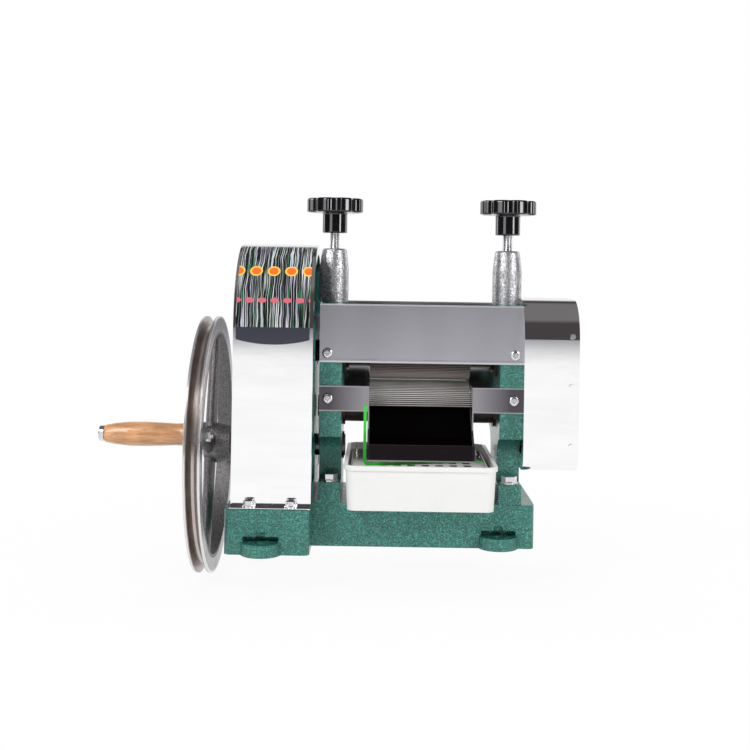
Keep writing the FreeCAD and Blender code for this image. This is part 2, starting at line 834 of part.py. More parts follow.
def ring_groove(x0, z):
    """The groove that a snap ring sits in, as a tube to cut from a shaft."""
    x1 = x0 + retaining_ring_width
    groove = rod_x(x0, x1, 0, z, journal_r + 1)
    return groove.cut(rod_x(x0 - 1, x1 + 1, 0, z, journal_r - retaining_ring_groove))


# Handwheel

def make_handwheel():
    """Grooved rim, four tapered spokes, hub, and a boss on the front spoke for the grip."""
    x0 = wheel_rim_left
    x1 = wheel_rim_right
    half_floor = wheel_groove_floor / 2
    inner = wheel_r - wheel_rim_depth
    floor = wheel_r - wheel_groove_depth
    rim = turned_x([(x0, inner), (x0, wheel_r), (x0 + wheel_lip, wheel_r), (wheel_x - half_floor, floor),
                    (wheel_x + half_floor, floor), (x1 - wheel_lip, wheel_r), (x1, wheel_r), (x1, inner)],
                   0, crank_z)
    small = wheel_hub_r - wheel_hub_draft
    hub = turned_x([(wheel_hub_face, 0), (wheel_hub_face, small), (x1, wheel_hub_r), (wheel_hub_back, small),
                    (wheel_hub_back, 0)], 0, crank_z)
    pieces = [hub]
    for i in range(wheel_spokes):
        pieces.append(spoke(spoke_tilt + 2 * math.pi * i / wheel_spokes))
    pieces.append(rod_x(grip_boss_face, grip_boss_back, grip_y, grip_z, grip_boss_r))
    body = rim.fuse(pieces)
    cuts = [rod_x(wheel_hub_face - 1, wheel_hub_back + 1, 0, crank_z, gear_seat_r + press_gap),
            key_box(wheel_hub_face - 1, wheel_hub_back + 1, crank_z, gear_seat_r, key_gap),
            rod_x(grip_boss_face - 1, grip_boss_back + 1, grip_y, grip_z, grip_bolt_r + drill_gap)]
    return body.cut(cuts).removeSplitter()


def spoke(tilt):
    """One spoke, an oval that tapers from the hub to the rim. Tilt is measured up from the front."""
    inner = wheel_hub_r - spoke_root_in
    outer = wheel_r - wheel_rim_depth + spoke_overlap
    sections = []
    for r, half in ((inner, spoke_root_half), (outer, spoke_tip_half)):
        oval = Part.Ellipse(V(0, 0, 0), half[0], half[1]).toShape()
        oval.rotate(V(0, 0, 0), V(0, 0, 1), 90)
        oval.translate(V(0, 0, r))
        sections.append(Part.Wire(oval))
    bar = Part.makeLoft(sections, True, True)
    bar.rotate(V(0, 0, 0), V(1, 0, 0), 90 - math.degrees(tilt))
    bar.translate(V(wheel_x, 0, crank_z))
    return bar


def make_wheel_nut():
    start = wheel_hub_face - washer
    nut = hex_x(start - crank_nut_height, start, 0, crank_z, wheel_nut_across)
    return nut.cut(rod_x(start - crank_nut_height - 1, start + 1, 0, crank_z, crank_end_r + press_gap))


def make_wheel_washer():
    ring = rod_x(wheel_hub_face - washer, wheel_hub_face, 0, crank_z, wheel_washer_r)
    hole = rod_x(wheel_hub_face - washer - 1, wheel_hub_face + 1, 0, crank_z, crank_end_r + drill_gap)
    return ring.cut(hole)


def make_grip():
    """The turned wooden grip: full in the middle, a narrow neck and a flared inner end."""
    stations = ((0.0, 0.67), (0.02, 0.72), (0.12, 0.86), (0.3, 0.98), (0.48, 1.0), (0.68, 0.95), (0.86, 0.89),
                (0.93, 0.91), (0.98, 0.99), (1.0, 0.96))
    points = [V(grip_out + grip_length * t, grip_y, grip_z + grip_r * r) for t, r in stations]
    curve = Part.BSplineCurve()
    curve.interpolate(points)
    low = V(grip_out, grip_y, grip_z)
    high = V(grip_in, grip_y, grip_z)
    outline = Part.Wire([curve.toShape(), Part.makeLine(points[-1], high), Part.makeLine(high, low),
                         Part.makeLine(low, points[0])])
    solid = Part.Face(outline).revolve(low, V(1, 0, 0), 360)
    return solid.cut(rod_x(grip_out - 1, grip_in + 1, grip_y, grip_z, grip_bolt_r + running_gap * 2))


def make_grip_bolt():
    head_in = grip_out - slide_gap
    end = wheel_rim_right + grip_bolt_beyond
    head_out = head_in - grip_head_height
    c = grip_head_chamfer
    cap = turned_x([(head_out, 0), (head_out, grip_head_r - c), (head_out + c, grip_head_r),
                    (head_in, grip_head_r), (head_in, 0)], grip_y, grip_z)
    cap = cap.common(hex_x(head_out - 1, head_in + 1, grip_y, grip_z, grip_head_across))
    return cap.fuse(rod_x(head_in, end, grip_y, grip_z, grip_bolt_r)).removeSplitter()


def make_grip_washer():
    ring = rod_x(grip_boss_face - washer, grip_boss_face, grip_y, grip_z, grip_washer_r)
    hole_r = grip_bolt_r + drill_gap
    return ring.cut(rod_x(grip_boss_face - washer - 1, grip_boss_face + 1, grip_y, grip_z, hole_r))


def make_grip_nut():
    start = grip_boss_back
    nut = hex_x(start, start + grip_nut_height, grip_y, grip_z, grip_nut_across)
    return nut.cut(rod_x(start - 1, start + grip_nut_height + 1, grip_y, grip_z, grip_bolt_r + press_gap))


# Pressure screws, posts and knobs

def make_post(middle):
    """A cast sleeve on top of a standard: straight foot, taper, and a rounded shoulder round the screw."""
    low = frame_top
    top = post_top
    bore = screw_r + post_bore_gap
    s = post_shoulder
    turns = [math.pi / 2 * i / post_shoulder_steps for i in range(post_shoulder_steps + 1)]
    shoulder = [(post_top_r - s + s * math.cos(a), top - s + s * math.sin(a)) for a in turns]
    foot = [(bore, low), (post_foot_r, low), (post_foot_r, low + post_taper_from)]
    return turned_z(foot + shoulder + [(bore, top)], middle, 0)


def make_pressure_screw(middle):
    """The screw from its seat in the bearing block up into the knob, with a neck for the retaining pin."""
    low = block_top - screw_in_block + slide_gap
    neck_low = pin_z() - pin_r - slide_gap
    neck_high = pin_z() + pin_r + slide_gap
    high = star_bottom + screw_in_knob
    return turned_z([(0, low), (screw_r - 1, low), (screw_r, low + 1), (screw_r, neck_low),
                     (screw_neck_r, neck_low), (screw_neck_r, neck_high), (screw_r, neck_high),
                     (screw_r, high), (0, high)], middle, 0)


def make_star_knob(middle):
    """A star knob: scalloped head over a round hub, bored for the screw."""
    head = rod_z(star_bottom, star_top, middle, 0, star_r)
    scallops = []
    for i in range(star_lobes):
        a = 2 * math.pi * (i + 0.25) / star_lobes
        scallops.append(rod_z(star_bottom - 1, star_top + 1, middle + star_scallop_at * math.cos(a),
                              star_scallop_at * math.sin(a), star_scallop_r))
    head = head.cut(scallops)
    upright = [e for e in head.Edges if e.BoundBox.ZLength > star_height / 2]
    upright = [e for e in upright if math.hypot(e.BoundBox.XLength, e.BoundBox.YLength) < star_edge]
    head = head.makeFillet(star_edge, upright)
    faces_up_and_down = [e for e in head.Edges if e.BoundBox.ZMin > star_top - 0.01
                         or e.BoundBox.ZMax < star_bottom + 0.01]
    head = head.makeChamfer(star_rim, faces_up_and_down)
    hub = turned_z([(0, knob_bottom), (knob_hub_r - 1, knob_bottom), (knob_hub_r, knob_bottom + 1),
                    (knob_hub_r, star_bottom), (0, star_bottom)], middle, 0)
    bore = rod_z(knob_bottom - 1, star_bottom + screw_in_knob, middle, 0, screw_r)
    return head.fuse(hub).cut(bore).removeSplitter()


# Gear cover

def cover_screw_places():
    y = cover_half_depth + cover_flange / 2
    half = cover_screw_spacing / 2
    return [(cover_screw_centre + s * half, t * y) for s in (-1, 1) for t in (-1, 1)]


def arch(x, half, z_low, z_arch):
    """A round-topped outline: straight sides and a half circle."""
    return Part.Wire([
        Part.makeLine(V(x, half, z_low), V(x, half, z_arch)),
        Part.Arc(V(x, half, z_arch), V(x, 0, z_arch + half), V(x, -half, z_arch)).toShape(),
        Part.makeLine(V(x, -half, z_arch), V(x, -half, z_low)),
        Part.makeLine(V(x, -half, z_low), V(x, half, z_low)),
    ])


def make_gear_cover():
    """The sheet bent over the gears, its foot flanges, and the narrow lip on the frame side."""
    half = cover_half_depth
    outer = slab_x(arch(cover_left_x, half, base_height, cover_arch_z), cover_width)
    inner = slab_x(arch(cover_left_x - 1, half - sheet, base_height - 1, cover_arch_z), cover_width + 2)
    skin = outer.cut(inner)
    lip = slab_x(arch(cover_right_x - sheet, half - sheet / 2, base_height, cover_arch_z), sheet)
    lip = lip.cut(slab_x(arch(cover_right_x - 2 * sheet, half - cover_lip, base_height - 1, cover_arch_z),
                         3 * sheet))
    flanges = []
    holes = []
    for s in (-1, 1):
        y0, y1 = sorted((s * (half - sheet / 2), s * (half + cover_flange)))
        flanges.append(box(cover_left_x, cover_right_x, y0, y1, base_height, base_height + sheet))
    for x, y in cover_screw_places():
        holes.append(rod_z(base_height - overcut, base_height + through, x, y, sheet_screw_r + bolt_gap))
    return skin.fuse([lip] + flanges).cut(holes).removeSplitter()


def make_gear_cover_cheek():
    """The flat side of the gear cover towards the handwheel, with a hole for the crank shaft."""
    plate = slab_x(arch(cover_left_x, cover_half_depth - sheet, base_height, cover_arch_z), sheet)
    hole = rod_x(cover_left_x - overcut, cover_left_x + through, 0, crank_z, journal_r + shaft_hole_gap)
    return plate.cut(hole)


def make_cover_screws():
    seat = base_height + sheet
    screws = [bolt_down(x, y, seat, cover_screw_depth + sheet, sheet_screw_r, cover_screw_across,
                         cover_screw_head) for x, y in cover_screw_places()]
    return Part.makeCompound(screws)


# Roller gear cover

def end_cover_screw_places():
    y = half_bar - end_screw_in
    levels = (end_cover_bottom + end_screw_up, end_cover_top - end_screw_down)
    return [(s * y, z) for s in (-1, 1) for z in levels]


def end_outline(x, inset):
    half = end_cover_half_depth - inset
    return rounded_yz(x, -half, half, end_cover_bottom + inset, end_cover_top - inset,
                      end_cover_bottom_r - inset, end_cover_top_r - inset)


def make_end_cover():
    """The sheet bent round the roller gears, with a lip that is screwed to the right standard."""
    skin = slab_x(end_outline(end_cover_left, 0), end_cover_width)
    skin = skin.cut(slab_x(end_outline(end_cover_left - 1, sheet), end_cover_width + 2))
    lip = slab_x(end_outline(end_cover_left, sheet / 2), sheet)
    lip = lip.cut(slab_x(end_outline(end_cover_left - 1, end_cover_lip), sheet + 2))
    holes = []
    for y, z in end_cover_screw_places():
        holes.append(rod_x(end_cover_left - overcut, end_cover_left + through, y, z,
                           sheet_screw_r + bolt_gap))
    for y, z, s in rivet_places():
        low, high = sorted((y - s * through, y + s * overcut))
        holes.append(rod_y(low, high, rivet_x, z, rivet_shank_r))
    holes.append(rod_z(frame_top - slide_gap, frame_top + post_height, right_mid, 0, post_foot_r + slide_gap))
    return skin.fuse(lip).cut(holes).removeSplitter()


def rivet_places():
    return [(s * end_cover_half_depth, z, s) for s in (-1, 1)
            for z in (rivet_low_z, rivet_mid_z, rivet_high_z)]


def make_end_plate():
    """The end of the roller gear cover, a plate with a flange riveted inside the sheet."""
    x1 = end_cover_right - end_plate_recess
    block = slab_x(end_outline(x1 - end_plate_flange, sheet), end_plate_flange)
    block = block.cut(slab_x(end_outline(x1 - end_plate_flange - 1, 2 * sheet), end_plate_flange + 1 - sheet))
    holes = []
    for y, z, s in rivet_places():
        low, high = sorted((y - s * through, y + s * overcut))
        holes.append(rod_y(low, high, rivet_x, z, rivet_shank_r))
    return block.cut(holes)


def make_rivets():
    rivets = []
    for y, z, s in rivet_places():
        low, high = sorted((y - s * (2 * sheet + rivet_tail), y))
        shank = rod_y(low, high, rivet_x, z, rivet_shank_r)
        low, high = sorted((y, y + s * rivet_head))
        head = rod_y(low, high, rivet_x, z, rivet_r)
        rivets.append(shank.fuse(head).removeSplitter())
    return Part.makeCompound(rivets)


def make_end_cover_screws():
    screws = []
    for y, z in end_cover_screw_places():
        seat = end_cover_left + sheet
        shank = rod_x(end_cover_left - end_screw_depth, seat, y, z, sheet_screw_r)
        head = hex_x(seat, seat + end_screw_head, y, z, end_screw_across)
        screws.append(shank.fuse(head).removeSplitter())
    return Part.makeCompound(screws)


# Front and rear sheets

def sheet_screw_levels(way):
    """Screws on a standard's front or rear face: inset from its outer side, and height."""
    lower = (wing_top + wing_bottom) / 2 if way > 0 else guide_wing_bottom + guide_screw_up
    return ((shield_screw_inset, shield_bottom + shield_screw_up), (wing_screw_inset, lower))


def sheet_screw_x(inset):
    return (left_out + inset, right_out - inset)


def make_shield(sign):
    """A flat shield across two standards, with folded hems along its top and bottom."""
    face = half_bar
    y0, y1 = sorted((sign * face, sign * (face + sheet)))
    plate = box(left_out, right_out, y0, y1, shield_bottom, frame_top)
    y0, y1 = sorted((sign * face, sign * (face + 2 * sheet)))
    hems = [box(left_out, right_out, y0, y1, frame_top - shield_hem, frame_top),
            box(left_out, right_out, y0, y1, shield_bottom, shield_bottom + shield_hem)]
    holes = []
    inset, z = sheet_screw_levels(-sign)[0]
    for x in sheet_screw_x(inset):
        holes.append(rod_y(-half_bar * 2, half_bar * 2, x, z, sheet_screw_r + bolt_gap))
    return plate.fuse(hems).cut(holes).removeSplitter()


def make_sheet_screws(row, thickness):
    """Four pan head screws, front and rear: row 0 holds the shields, row 1 the chute and the feed guide."""
    screws = []
    for sign in (-1, 1):
        inset, z = sheet_screw_levels(-sign)[row]
        y = sign * (half_bar + thickness)
        for x in sheet_screw_x(inset):
            screws.append(pan_screw(x, y, z, sign, sheet_screw_depth + thickness - sheet_screw_short))
    return Part.makeCompound(screws)


def folded_plate(points, x0, x1, thickness):
    """A bent plate across X: its upper side follows the (y, z) points, and its thickness lies below."""
    lower = [(y, z - thickness) for y, z in reversed(points)]
    return loop_face(in_yz(x0, list(points) + lower)).extrude(V(x1 - x0, 0, 0))


def make_chute():
    """The discharge chute: a folded plate below the lower roller, two cheeks and two screwed wings."""
    x0 = wing_left_x
    x1 = wing_right_x
    t = chute_sheet
    face = -half_bar
    plate = folded_plate([chute_start, chute_fold, chute_lip], x0 - t, x1 + t, t)
    slope = (chute_start[1] - chute_fold[1]) / (chute_start[0] - chute_fold[0])
    at_face = chute_start[1] + slope * (face - t - chute_start[0])
    cheek = [(face - t, wing_top), (chute_start[0], wing_top), (chute_start[0], chute_start[1] - t / 2),
             (face - t, at_face - t / 2)]
    pieces = [plate]
    for low in (x0 - t, x1):
        pieces.append(loop_face(in_yz(low, cheek)).extrude(V(t, 0, 0)))
    pieces.append(box(left_out, x0, face - t, face, wing_bottom, wing_top))
    pieces.append(box(x1, right_out, face - t, face, wing_bottom, wing_top))
    inset, z = sheet_screw_levels(1)[1]
    holes = [rod_y(face - through, face + overcut, x, z, sheet_screw_r + bolt_gap)
             for x in sheet_screw_x(inset)]
    body = pieces[0].fuse(pieces[1:])
    return body.cut(holes).removeSplitter()


def make_feed_guide():
    """The feed guide behind the rollers: a floor that rises to its mouth, cheeks and screwed wings."""
    x0 = wing_left_x
    x1 = wing_right_x
    t = chute_sheet
    face = half_bar
    top = shield_bottom - guide_top_gap
    floor_points = [guide_mouth, (face + t, guide_floor_z), (guide_start_y, guide_floor_z)]
    floor = folded_plate(floor_points, x0 - t, x1 + t, t)
    cheek = [(guide_start_y, guide_floor_z - t / 2), (face + t, guide_floor_z - t / 2),
             (guide_mouth[0], guide_mouth[1] - t / 2), (guide_mouth[0], top + guide_flare), (face + t, top),
             (guide_start_y, top)]
    pieces = [floor]
    for low in (x0 - t, x1):
        pieces.append(loop_face(in_yz(low, cheek)).extrude(V(t, 0, 0)))
    pieces.append(box(left_out, x0, face, face + t, guide_wing_bottom, top))
    pieces.append(box(x1, right_out, face, face + t, guide_wing_bottom, top))
    inset, z = sheet_screw_levels(-1)[1]
    holes = [rod_y(face - overcut, face + through, x, z, sheet_screw_r + bolt_gap)
             for x in sheet_screw_x(inset)]
    return pieces[0].fuse(pieces[1:]).cut(holes).removeSplitter()


# Tray and strainer

def tray_ring(z, inset):
    """The tray's outline at a height, drawn in from its rim by inset."""
    r = max(3.0, tray_corner - inset)
    x = frame_centre_x
    return rounded_xy(z, x - tray_half_width + inset, x + tray_half_width - inset,
                      tray_centre_y - tray_half_depth + inset, tray_centre_y + tray_half_depth - inset, r)


def make_tray():
    """A moulded tub with nearly upright walls, a rim band, and inner ribs that carry the strainer."""
    w = tray_wall
    floor = tray_bottom + w
    outer = Part.makeLoft([tray_ring(tray_bottom, tray_lip + tray_draft), tray_ring(tray_top, tray_lip)],
                          True, True)
    rim = slab_z(tray_ring(tray_top - tray_rim_height, 0.0), tray_rim_height)
    inner = Part.makeLoft([tray_ring(floor, tray_lip + tray_draft + w), tray_ring(tray_top + 1, tray_lip + w)],
                          True, True)
    tub = outer.fuse(rim).cut(inner)
    half_x = tray_half_width - tray_lip - w
    half_y = tray_half_depth - tray_lip - w
    half_rib = tray_rib_width / 2
    top = tray_bottom + tray_rib_top
    ribs = []
    for s in (-1, 1):
        for t in (-1, 1):
            x = frame_centre_x + s * half_x * tray_rib_spread
            y0, y1 = sorted((t * (half_y - tray_draft - tray_rib_reach), t * (half_y + w / 2 - tray_draft)))
            ribs.append(box(x - half_rib, x + half_rib, tray_centre_y + y0, tray_centre_y + y1,
                            floor - 1, top))
            y = tray_centre_y + t * half_y * tray_rib_spread
            x0, x1 = sorted((s * (half_x - tray_draft - tray_rib_reach), s * (half_x + w / 2 - tray_draft)))
            ribs.append(box(frame_centre_x + x0, frame_centre_x + x1, y - half_rib, y + half_rib,
                            floor - 1, top))
    return tub.fuse(ribs).removeSplitter()


def make_strainer():
    """A shallow perforated pan that rests on the tray's ledge."""
    inset = tray_lip + tray_draft + tray_wall + strainer_gap
    z0 = tray_bottom + tray_rib_top
    pan = slab_z(tray_ring(z0, inset), strainer_wall)
    pan = pan.cut(slab_z(tray_ring(z0 + strainer_sheet, inset + strainer_sheet), strainer_wall))
    half_x = tray_half_width - inset - strainer_margin
    half_y = tray_half_depth - inset - strainer_margin
    holes = []
    for i in range(strainer_columns):
        x = frame_centre_x - half_x + (2 * half_x) * (i + 0.5) / strainer_columns
        for j in range(strainer_rows):
            y = tray_centre_y - half_y + (2 * half_y) * (j + 0.5) / strainer_rows
            h = strainer_hole / 2
            holes.append(box(x - h, x + h, y - h, y + h, z0 - 1, z0 + strainer_sheet + 1))
    return pan.cut(holes)


def make_strip():
    """A thin L-shaped plastic strip: a leg down from the left wing and a leg above the strainer."""
    y1 = -half_bar - chute_sheet
    y0 = y1 - strip_thickness
    leg = box(strip_x - strip_width / 2, strip_x + strip_width / 2, y0, y1, strip_bottom_z,
              wing_bottom + strip_overlap)
    x0 = strip_x - strip_width / 2
    foot = [V(x0, y0, strip_bottom_z), V(strip_end_x, y0, strip_bottom_z + strip_width - strip_tip),
            V(strip_end_x, y0, strip_bottom_z + strip_width), V(x0, y0, strip_bottom_z + strip_width)]
    foot = loop_face(foot).extrude(V(0, strip_thickness, 0))
    return leg.fuse(foot).removeSplitter()


def main():
    export("base_casting", make_base())
    export("left_frame", make_roller_frame(left_out, True))
    export("right_frame", make_roller_frame(right_in, False))
    export("gear_frame", make_gear_frame())
    export("frame_foot_bolts", make_foot_bolts())
    export("left_post", make_post(left_mid))
    export("right_post", make_post(right_mid))

    export("lower_left_bush", make_bush(left_in, 1, lower_axis_z, frame_thickness, journal_r))
    export("lower_right_bush", make_bush(right_in, -1, lower_axis_z, frame_thickness, journal_r))
    export("crank_inner_bush", make_crank_bush(left_out, frame_thickness, 0.0))
    export("crank_outer_bush", make_crank_bush(gear_frame_out, gear_frame_thickness, bush_flange))

    block_face_left = left_in + slide_gap + block_flange
    block_face_right = right_in - slide_gap - block_flange
    block_seat = frame_thickness + slide_gap + block_flange
    export("left_bearing_block", make_block(left_out, 1, left_mid))
    export("right_bearing_block", make_block(right_out, -1, right_mid))
    export("upper_left_bush", make_bush(block_face_left, 1, upper_axis_z, block_seat, journal_r))
    export("upper_right_bush", make_bush(block_face_right, -1, upper_axis_z, block_seat, journal_r))
    pins = []
    half = window_width / 2 - slide_gap
    for middle in (left_mid, right_mid):
        pins.append(rod_y(-half, half, pin_x(middle), pin_z(), pin_r))
    export("screw_retaining_pins", Part.makeCompound(pins))

    for side, middle in (("left", left_mid), ("right", right_mid)):
        export(side + "_pressure_screw", make_pressure_screw(middle))
        export(side + "_star_knob", make_star_knob(middle))

    lower_left = left_in + bush_flange + slide_gap
    lower_right = right_in - bush_flange - slide_gap
    upper_left = block_face_left + bush_flange + slide_gap
    upper_right = block_face_right - bush_flange - slide_gap
    ring_x = left_out - slide_gap - retaining_ring_width
    shaft_end = ring_x - shaft_beyond_ring
    lower = make_roller(lower_axis_z, lower_left, lower_right, shaft_end, (shaft_end, journal_r))
    export("lower_roller", lower.cut(ring_groove(ring_x, lower_axis_z)))
    export("lower_roller_ring", retaining_ring(ring_x, lower_axis_z))
    upper = make_roller(upper_axis_z, upper_left, upper_right, big_gear_left, (big_gear_right, gear_seat_r))
    end_hole = rod_x(big_gear_left - 1, big_gear_left + end_bolt_hole, 0, upper_axis_z, screw_r)
    export("upper_roller", upper.cut([make_big_gear_key(), end_hole]))
    export("big_gear_key", make_big_gear_key())
    export("big_gear_bolt", make_big_gear_bolt())

    down = -math.pi / 2
    up = math.pi / 2
    export("upper_roller_gear", make_roller_gear(upper_axis_z, down))
    export("lower_roller_gear", make_roller_gear(lower_axis_z, up + math.pi / roller_gear_teeth))
    export("upper_gear_key", make_roller_gear_key(upper_axis_z))
    export("lower_gear_key", make_roller_gear_key(lower_axis_z))
    export("upper_gear_nut", make_stub_nut(upper_axis_z))
    export("lower_gear_nut", make_stub_nut(lower_axis_z))
    export("big_gear", make_big_gear(down + math.pi / big_gear_teeth))
    export("crank_pinion", make_pinion(up))
    export("pinion_key", pinion_key_space(0.0))
    export("crank_shaft", make_crank_shaft())
    export("crank_ring", retaining_ring(left_in + slide_gap, crank_z))

    export("handwheel", make_handwheel())
    export("wheel_key", wheel_key_space(0.0))
    export("wheel_nut", make_wheel_nut())
    export("wheel_washer", make_wheel_washer())
    export("wooden_grip", make_grip())
    export("grip_bolt", make_grip_bolt())
    export("grip_washer", make_grip_washer())
    export("grip_nut", make_grip_nut())

    export("gear_cover", make_gear_cover())
    export("gear_cover_cheek", make_gear_cover_cheek())
    export("gear_cover_screws", make_cover_screws())
    export("roller_gear_cover", make_end_cover())
    export("roller_gear_cover_end", make_end_plate())
    export("roller_gear_cover_rivets", make_rivets())
    export("roller_gear_cover_screws", make_end_cover_screws())

    export("front_shield", make_shield(-1))
    export("rear_shield", make_shield(1))
    export("discharge_chute", make_chute())
    export("feed_guide", make_feed_guide())
    export("shield_screws", make_sheet_screws(0, sheet))
    export("chute_and_guide_screws", make_sheet_screws(1, chute_sheet))
    export("juice_tray", make_tray())
    export("strainer", make_strainer())
    export("splash_strip", make_strip())


main()
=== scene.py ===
"""Looks of a hand cranked sugarcane juicer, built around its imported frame."""

import math

import bmesh
import bpy
import numpy as np
from mathutils import Matrix, Vector


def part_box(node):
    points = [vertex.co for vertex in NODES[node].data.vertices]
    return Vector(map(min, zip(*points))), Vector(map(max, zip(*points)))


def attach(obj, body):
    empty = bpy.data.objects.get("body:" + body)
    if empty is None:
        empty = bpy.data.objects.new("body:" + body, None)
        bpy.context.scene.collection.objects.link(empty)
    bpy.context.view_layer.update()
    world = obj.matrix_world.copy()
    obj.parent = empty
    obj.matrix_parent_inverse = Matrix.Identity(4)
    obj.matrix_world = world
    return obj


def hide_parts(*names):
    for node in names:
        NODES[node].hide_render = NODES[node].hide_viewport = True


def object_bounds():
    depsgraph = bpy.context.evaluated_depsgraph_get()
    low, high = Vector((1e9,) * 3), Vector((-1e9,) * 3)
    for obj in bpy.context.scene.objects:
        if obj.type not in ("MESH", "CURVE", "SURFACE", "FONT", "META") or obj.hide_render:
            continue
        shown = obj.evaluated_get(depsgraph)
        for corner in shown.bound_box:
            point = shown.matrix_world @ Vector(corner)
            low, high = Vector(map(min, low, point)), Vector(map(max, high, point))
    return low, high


bl_info = {
    "name": "Cane Press Finish",
    "version": (1, 0, 0),
    "blender": (4, 5, 0),
    "location": "3D View > Sidebar > Cane Press",
    "description": "Finishes a hand cranked cane press: castings, sheet metal, knobs, grip, tray and stage",
    "category": "Object",
}

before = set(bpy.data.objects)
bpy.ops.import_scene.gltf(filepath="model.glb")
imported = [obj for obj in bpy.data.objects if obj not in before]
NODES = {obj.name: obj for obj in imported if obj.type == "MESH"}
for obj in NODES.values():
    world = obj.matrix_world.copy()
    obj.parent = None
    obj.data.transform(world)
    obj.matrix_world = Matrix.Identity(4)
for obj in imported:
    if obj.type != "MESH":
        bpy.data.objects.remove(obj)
CAD_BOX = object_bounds()
MM = 0.001

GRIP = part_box("wooden_grip")
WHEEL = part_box("handwheel")
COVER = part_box("gear_cover")
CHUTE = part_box("discharge_chute")
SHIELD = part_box("front_shield")

# Places where a finish changes, as in the part's source
WHEEL_RIM_X = WHEEL[0][0] + 9.2 * MM
CHUTE_HALF = 59.1 * MM
WING_Z = (155 * MM, 184 * MM)
COVER_RADIUS = 95 * MM
LABEL_FOOT = 148.5 * MM

# The bearing and half width of each bright panel that gloss shows, and how much it adds to a white wall
PANELS = ((math.radians(-36), math.radians(11)), (math.radians(52), math.radians(7)),
          (math.radians(-118), math.radians(7)), (math.radians(128), math.radians(6)))
PANEL_GAIN = 1.8


def middle(corners, axis):
    """The middle of a node's box along one axis."""
    return (corners[0][axis] + corners[1][axis]) / 2


# Sizes and colours that a user may change

def colour_setting(name, description, value):
    return bpy.props.FloatVectorProperty(name=name, description=description, subtype="COLOR", default=value)


def length_setting(name, description, value):
    return bpy.props.FloatProperty(name=name, description=description, unit="LENGTH", default=value)


def angle_setting(name, description, degrees):
    return bpy.props.FloatProperty(name=name, description=description, subtype="ANGLE",
                                   default=math.radians(degrees))


class CanePressCamera(bpy.types.PropertyGroup):
    """Where the camera stands and how it looks."""
    place: bpy.props.FloatVectorProperty(name="Place", description="The camera's position", unit="LENGTH",
                                         subtype="TRANSLATION", default=(-0.0078, -1.4261, 0.3233))
    yaw: angle_setting("Yaw", "How far the camera turns to the left", 0.175)
    roll: angle_setting("Roll", "How far the camera leans", 0.865)
    lens: bpy.props.FloatProperty(name="Lens", description="Focal length in millimetres on a 36 mm sensor",
                                  default=57.01)
    shift: bpy.props.FloatProperty(name="Shift", description="Vertical shift of the lens in picture widths",
                                   default=-0.147)


class CanePressColours(bpy.types.PropertyGroup):
    """Base colours of the main finishes."""
    enamel: colour_setting("Enamel", "Hammertone green of the castings", (0.034, 0.185, 0.150))
    silver: colour_setting("Silver paint", "Paint of the rough posts", (0.56, 0.56, 0.58))
    sheet: colour_setting("Sheet", "Bright rolled sheet", (0.95, 0.95, 0.955))
    wood: colour_setting("Wood", "Pale wood under varnish", (0.66, 0.33, 0.15))
    plastic: colour_setting("Tray plastic", "White of the tray", (0.90, 0.90, 0.89))
    strip: colour_setting("Strip", "Bright green of the splash strip", (0.045, 0.72, 0.050))


class CanePressSizes(bpy.types.PropertyGroup):
    """Sizes of the pieces made here."""
    thread_pitch: length_setting("Thread pitch", "Rise of the screw in one turn", 1.75 * MM)
    thread_depth: length_setting("Thread depth", "Depth of the screw's thread", 0.55 * MM)
    star_lobes: bpy.props.IntProperty(name="Lobes", description="Lobes of each star knob", default=7)
    recess_reach: length_setting("Recess reach", "Half length of a cross recess's arm", 2.9 * MM)
    recess_half: length_setting("Recess half width", "Half width of a cross recess's arm", 0.7 * MM)
    label_lift: length_setting("Label lift", "How far the label stands off its sheet", 0.2 * MM)


def settings():
    scene = bpy.context.scene
    return scene.cane_camera, scene.cane_colours, scene.cane_sizes


# Meshes

def grid_faces(rows, columns, wrap_rows, wrap_columns):
    """Quads of a grid of points. A wrapped direction joins its last line to its first."""
    r = np.arange(rows if wrap_rows else rows - 1)[:, None]
    c = np.arange(columns if wrap_columns else columns - 1)[None, :]
    r2 = (r + 1) % rows
    c2 = (c + 1) % columns
    corners = [r * columns + c, r * columns + c2, r2 * columns + c2, r2 * columns + c]
    return np.stack(corners, axis=-1).reshape(-1, 4)


def gridded(name, blocks, wrap_rows=False, wrap_columns=True, sharp=38.0):
    """One object from arrays of (rows, columns, 3) points. Doubles are merged, so lines that shrink to a
    point close, and the faces are turned outwards."""
    points = np.concatenate([block.reshape(-1, 3) for block in blocks])
    faces = []
    start = 0
    for block in blocks:
        faces.append(grid_faces(block.shape[0], block.shape[1], wrap_rows, wrap_columns) + start)
        start += block.shape[0] * block.shape[1]
    mesh = bpy.data.meshes.new(name)
    mesh.from_pydata(points.tolist(), [], np.concatenate(faces).tolist())
    work = bmesh.new()
    work.from_mesh(mesh)
    bmesh.ops.remove_doubles(work, verts=work.verts, dist=1e-6)
    bmesh.ops.dissolve_degenerate(work, dist=1e-6, edges=work.edges)
    bmesh.ops.recalc_face_normals(work, faces=work.faces)
    work.to_mesh(mesh)
    work.free()
    mesh.polygons.foreach_set("use_smooth", np.ones(len(mesh.polygons), bool))
    mesh.set_sharp_from_angle(angle=math.radians(sharp))
    piece = bpy.data.objects.new(name, mesh)
    bpy.context.scene.collection.objects.link(piece)
    return piece


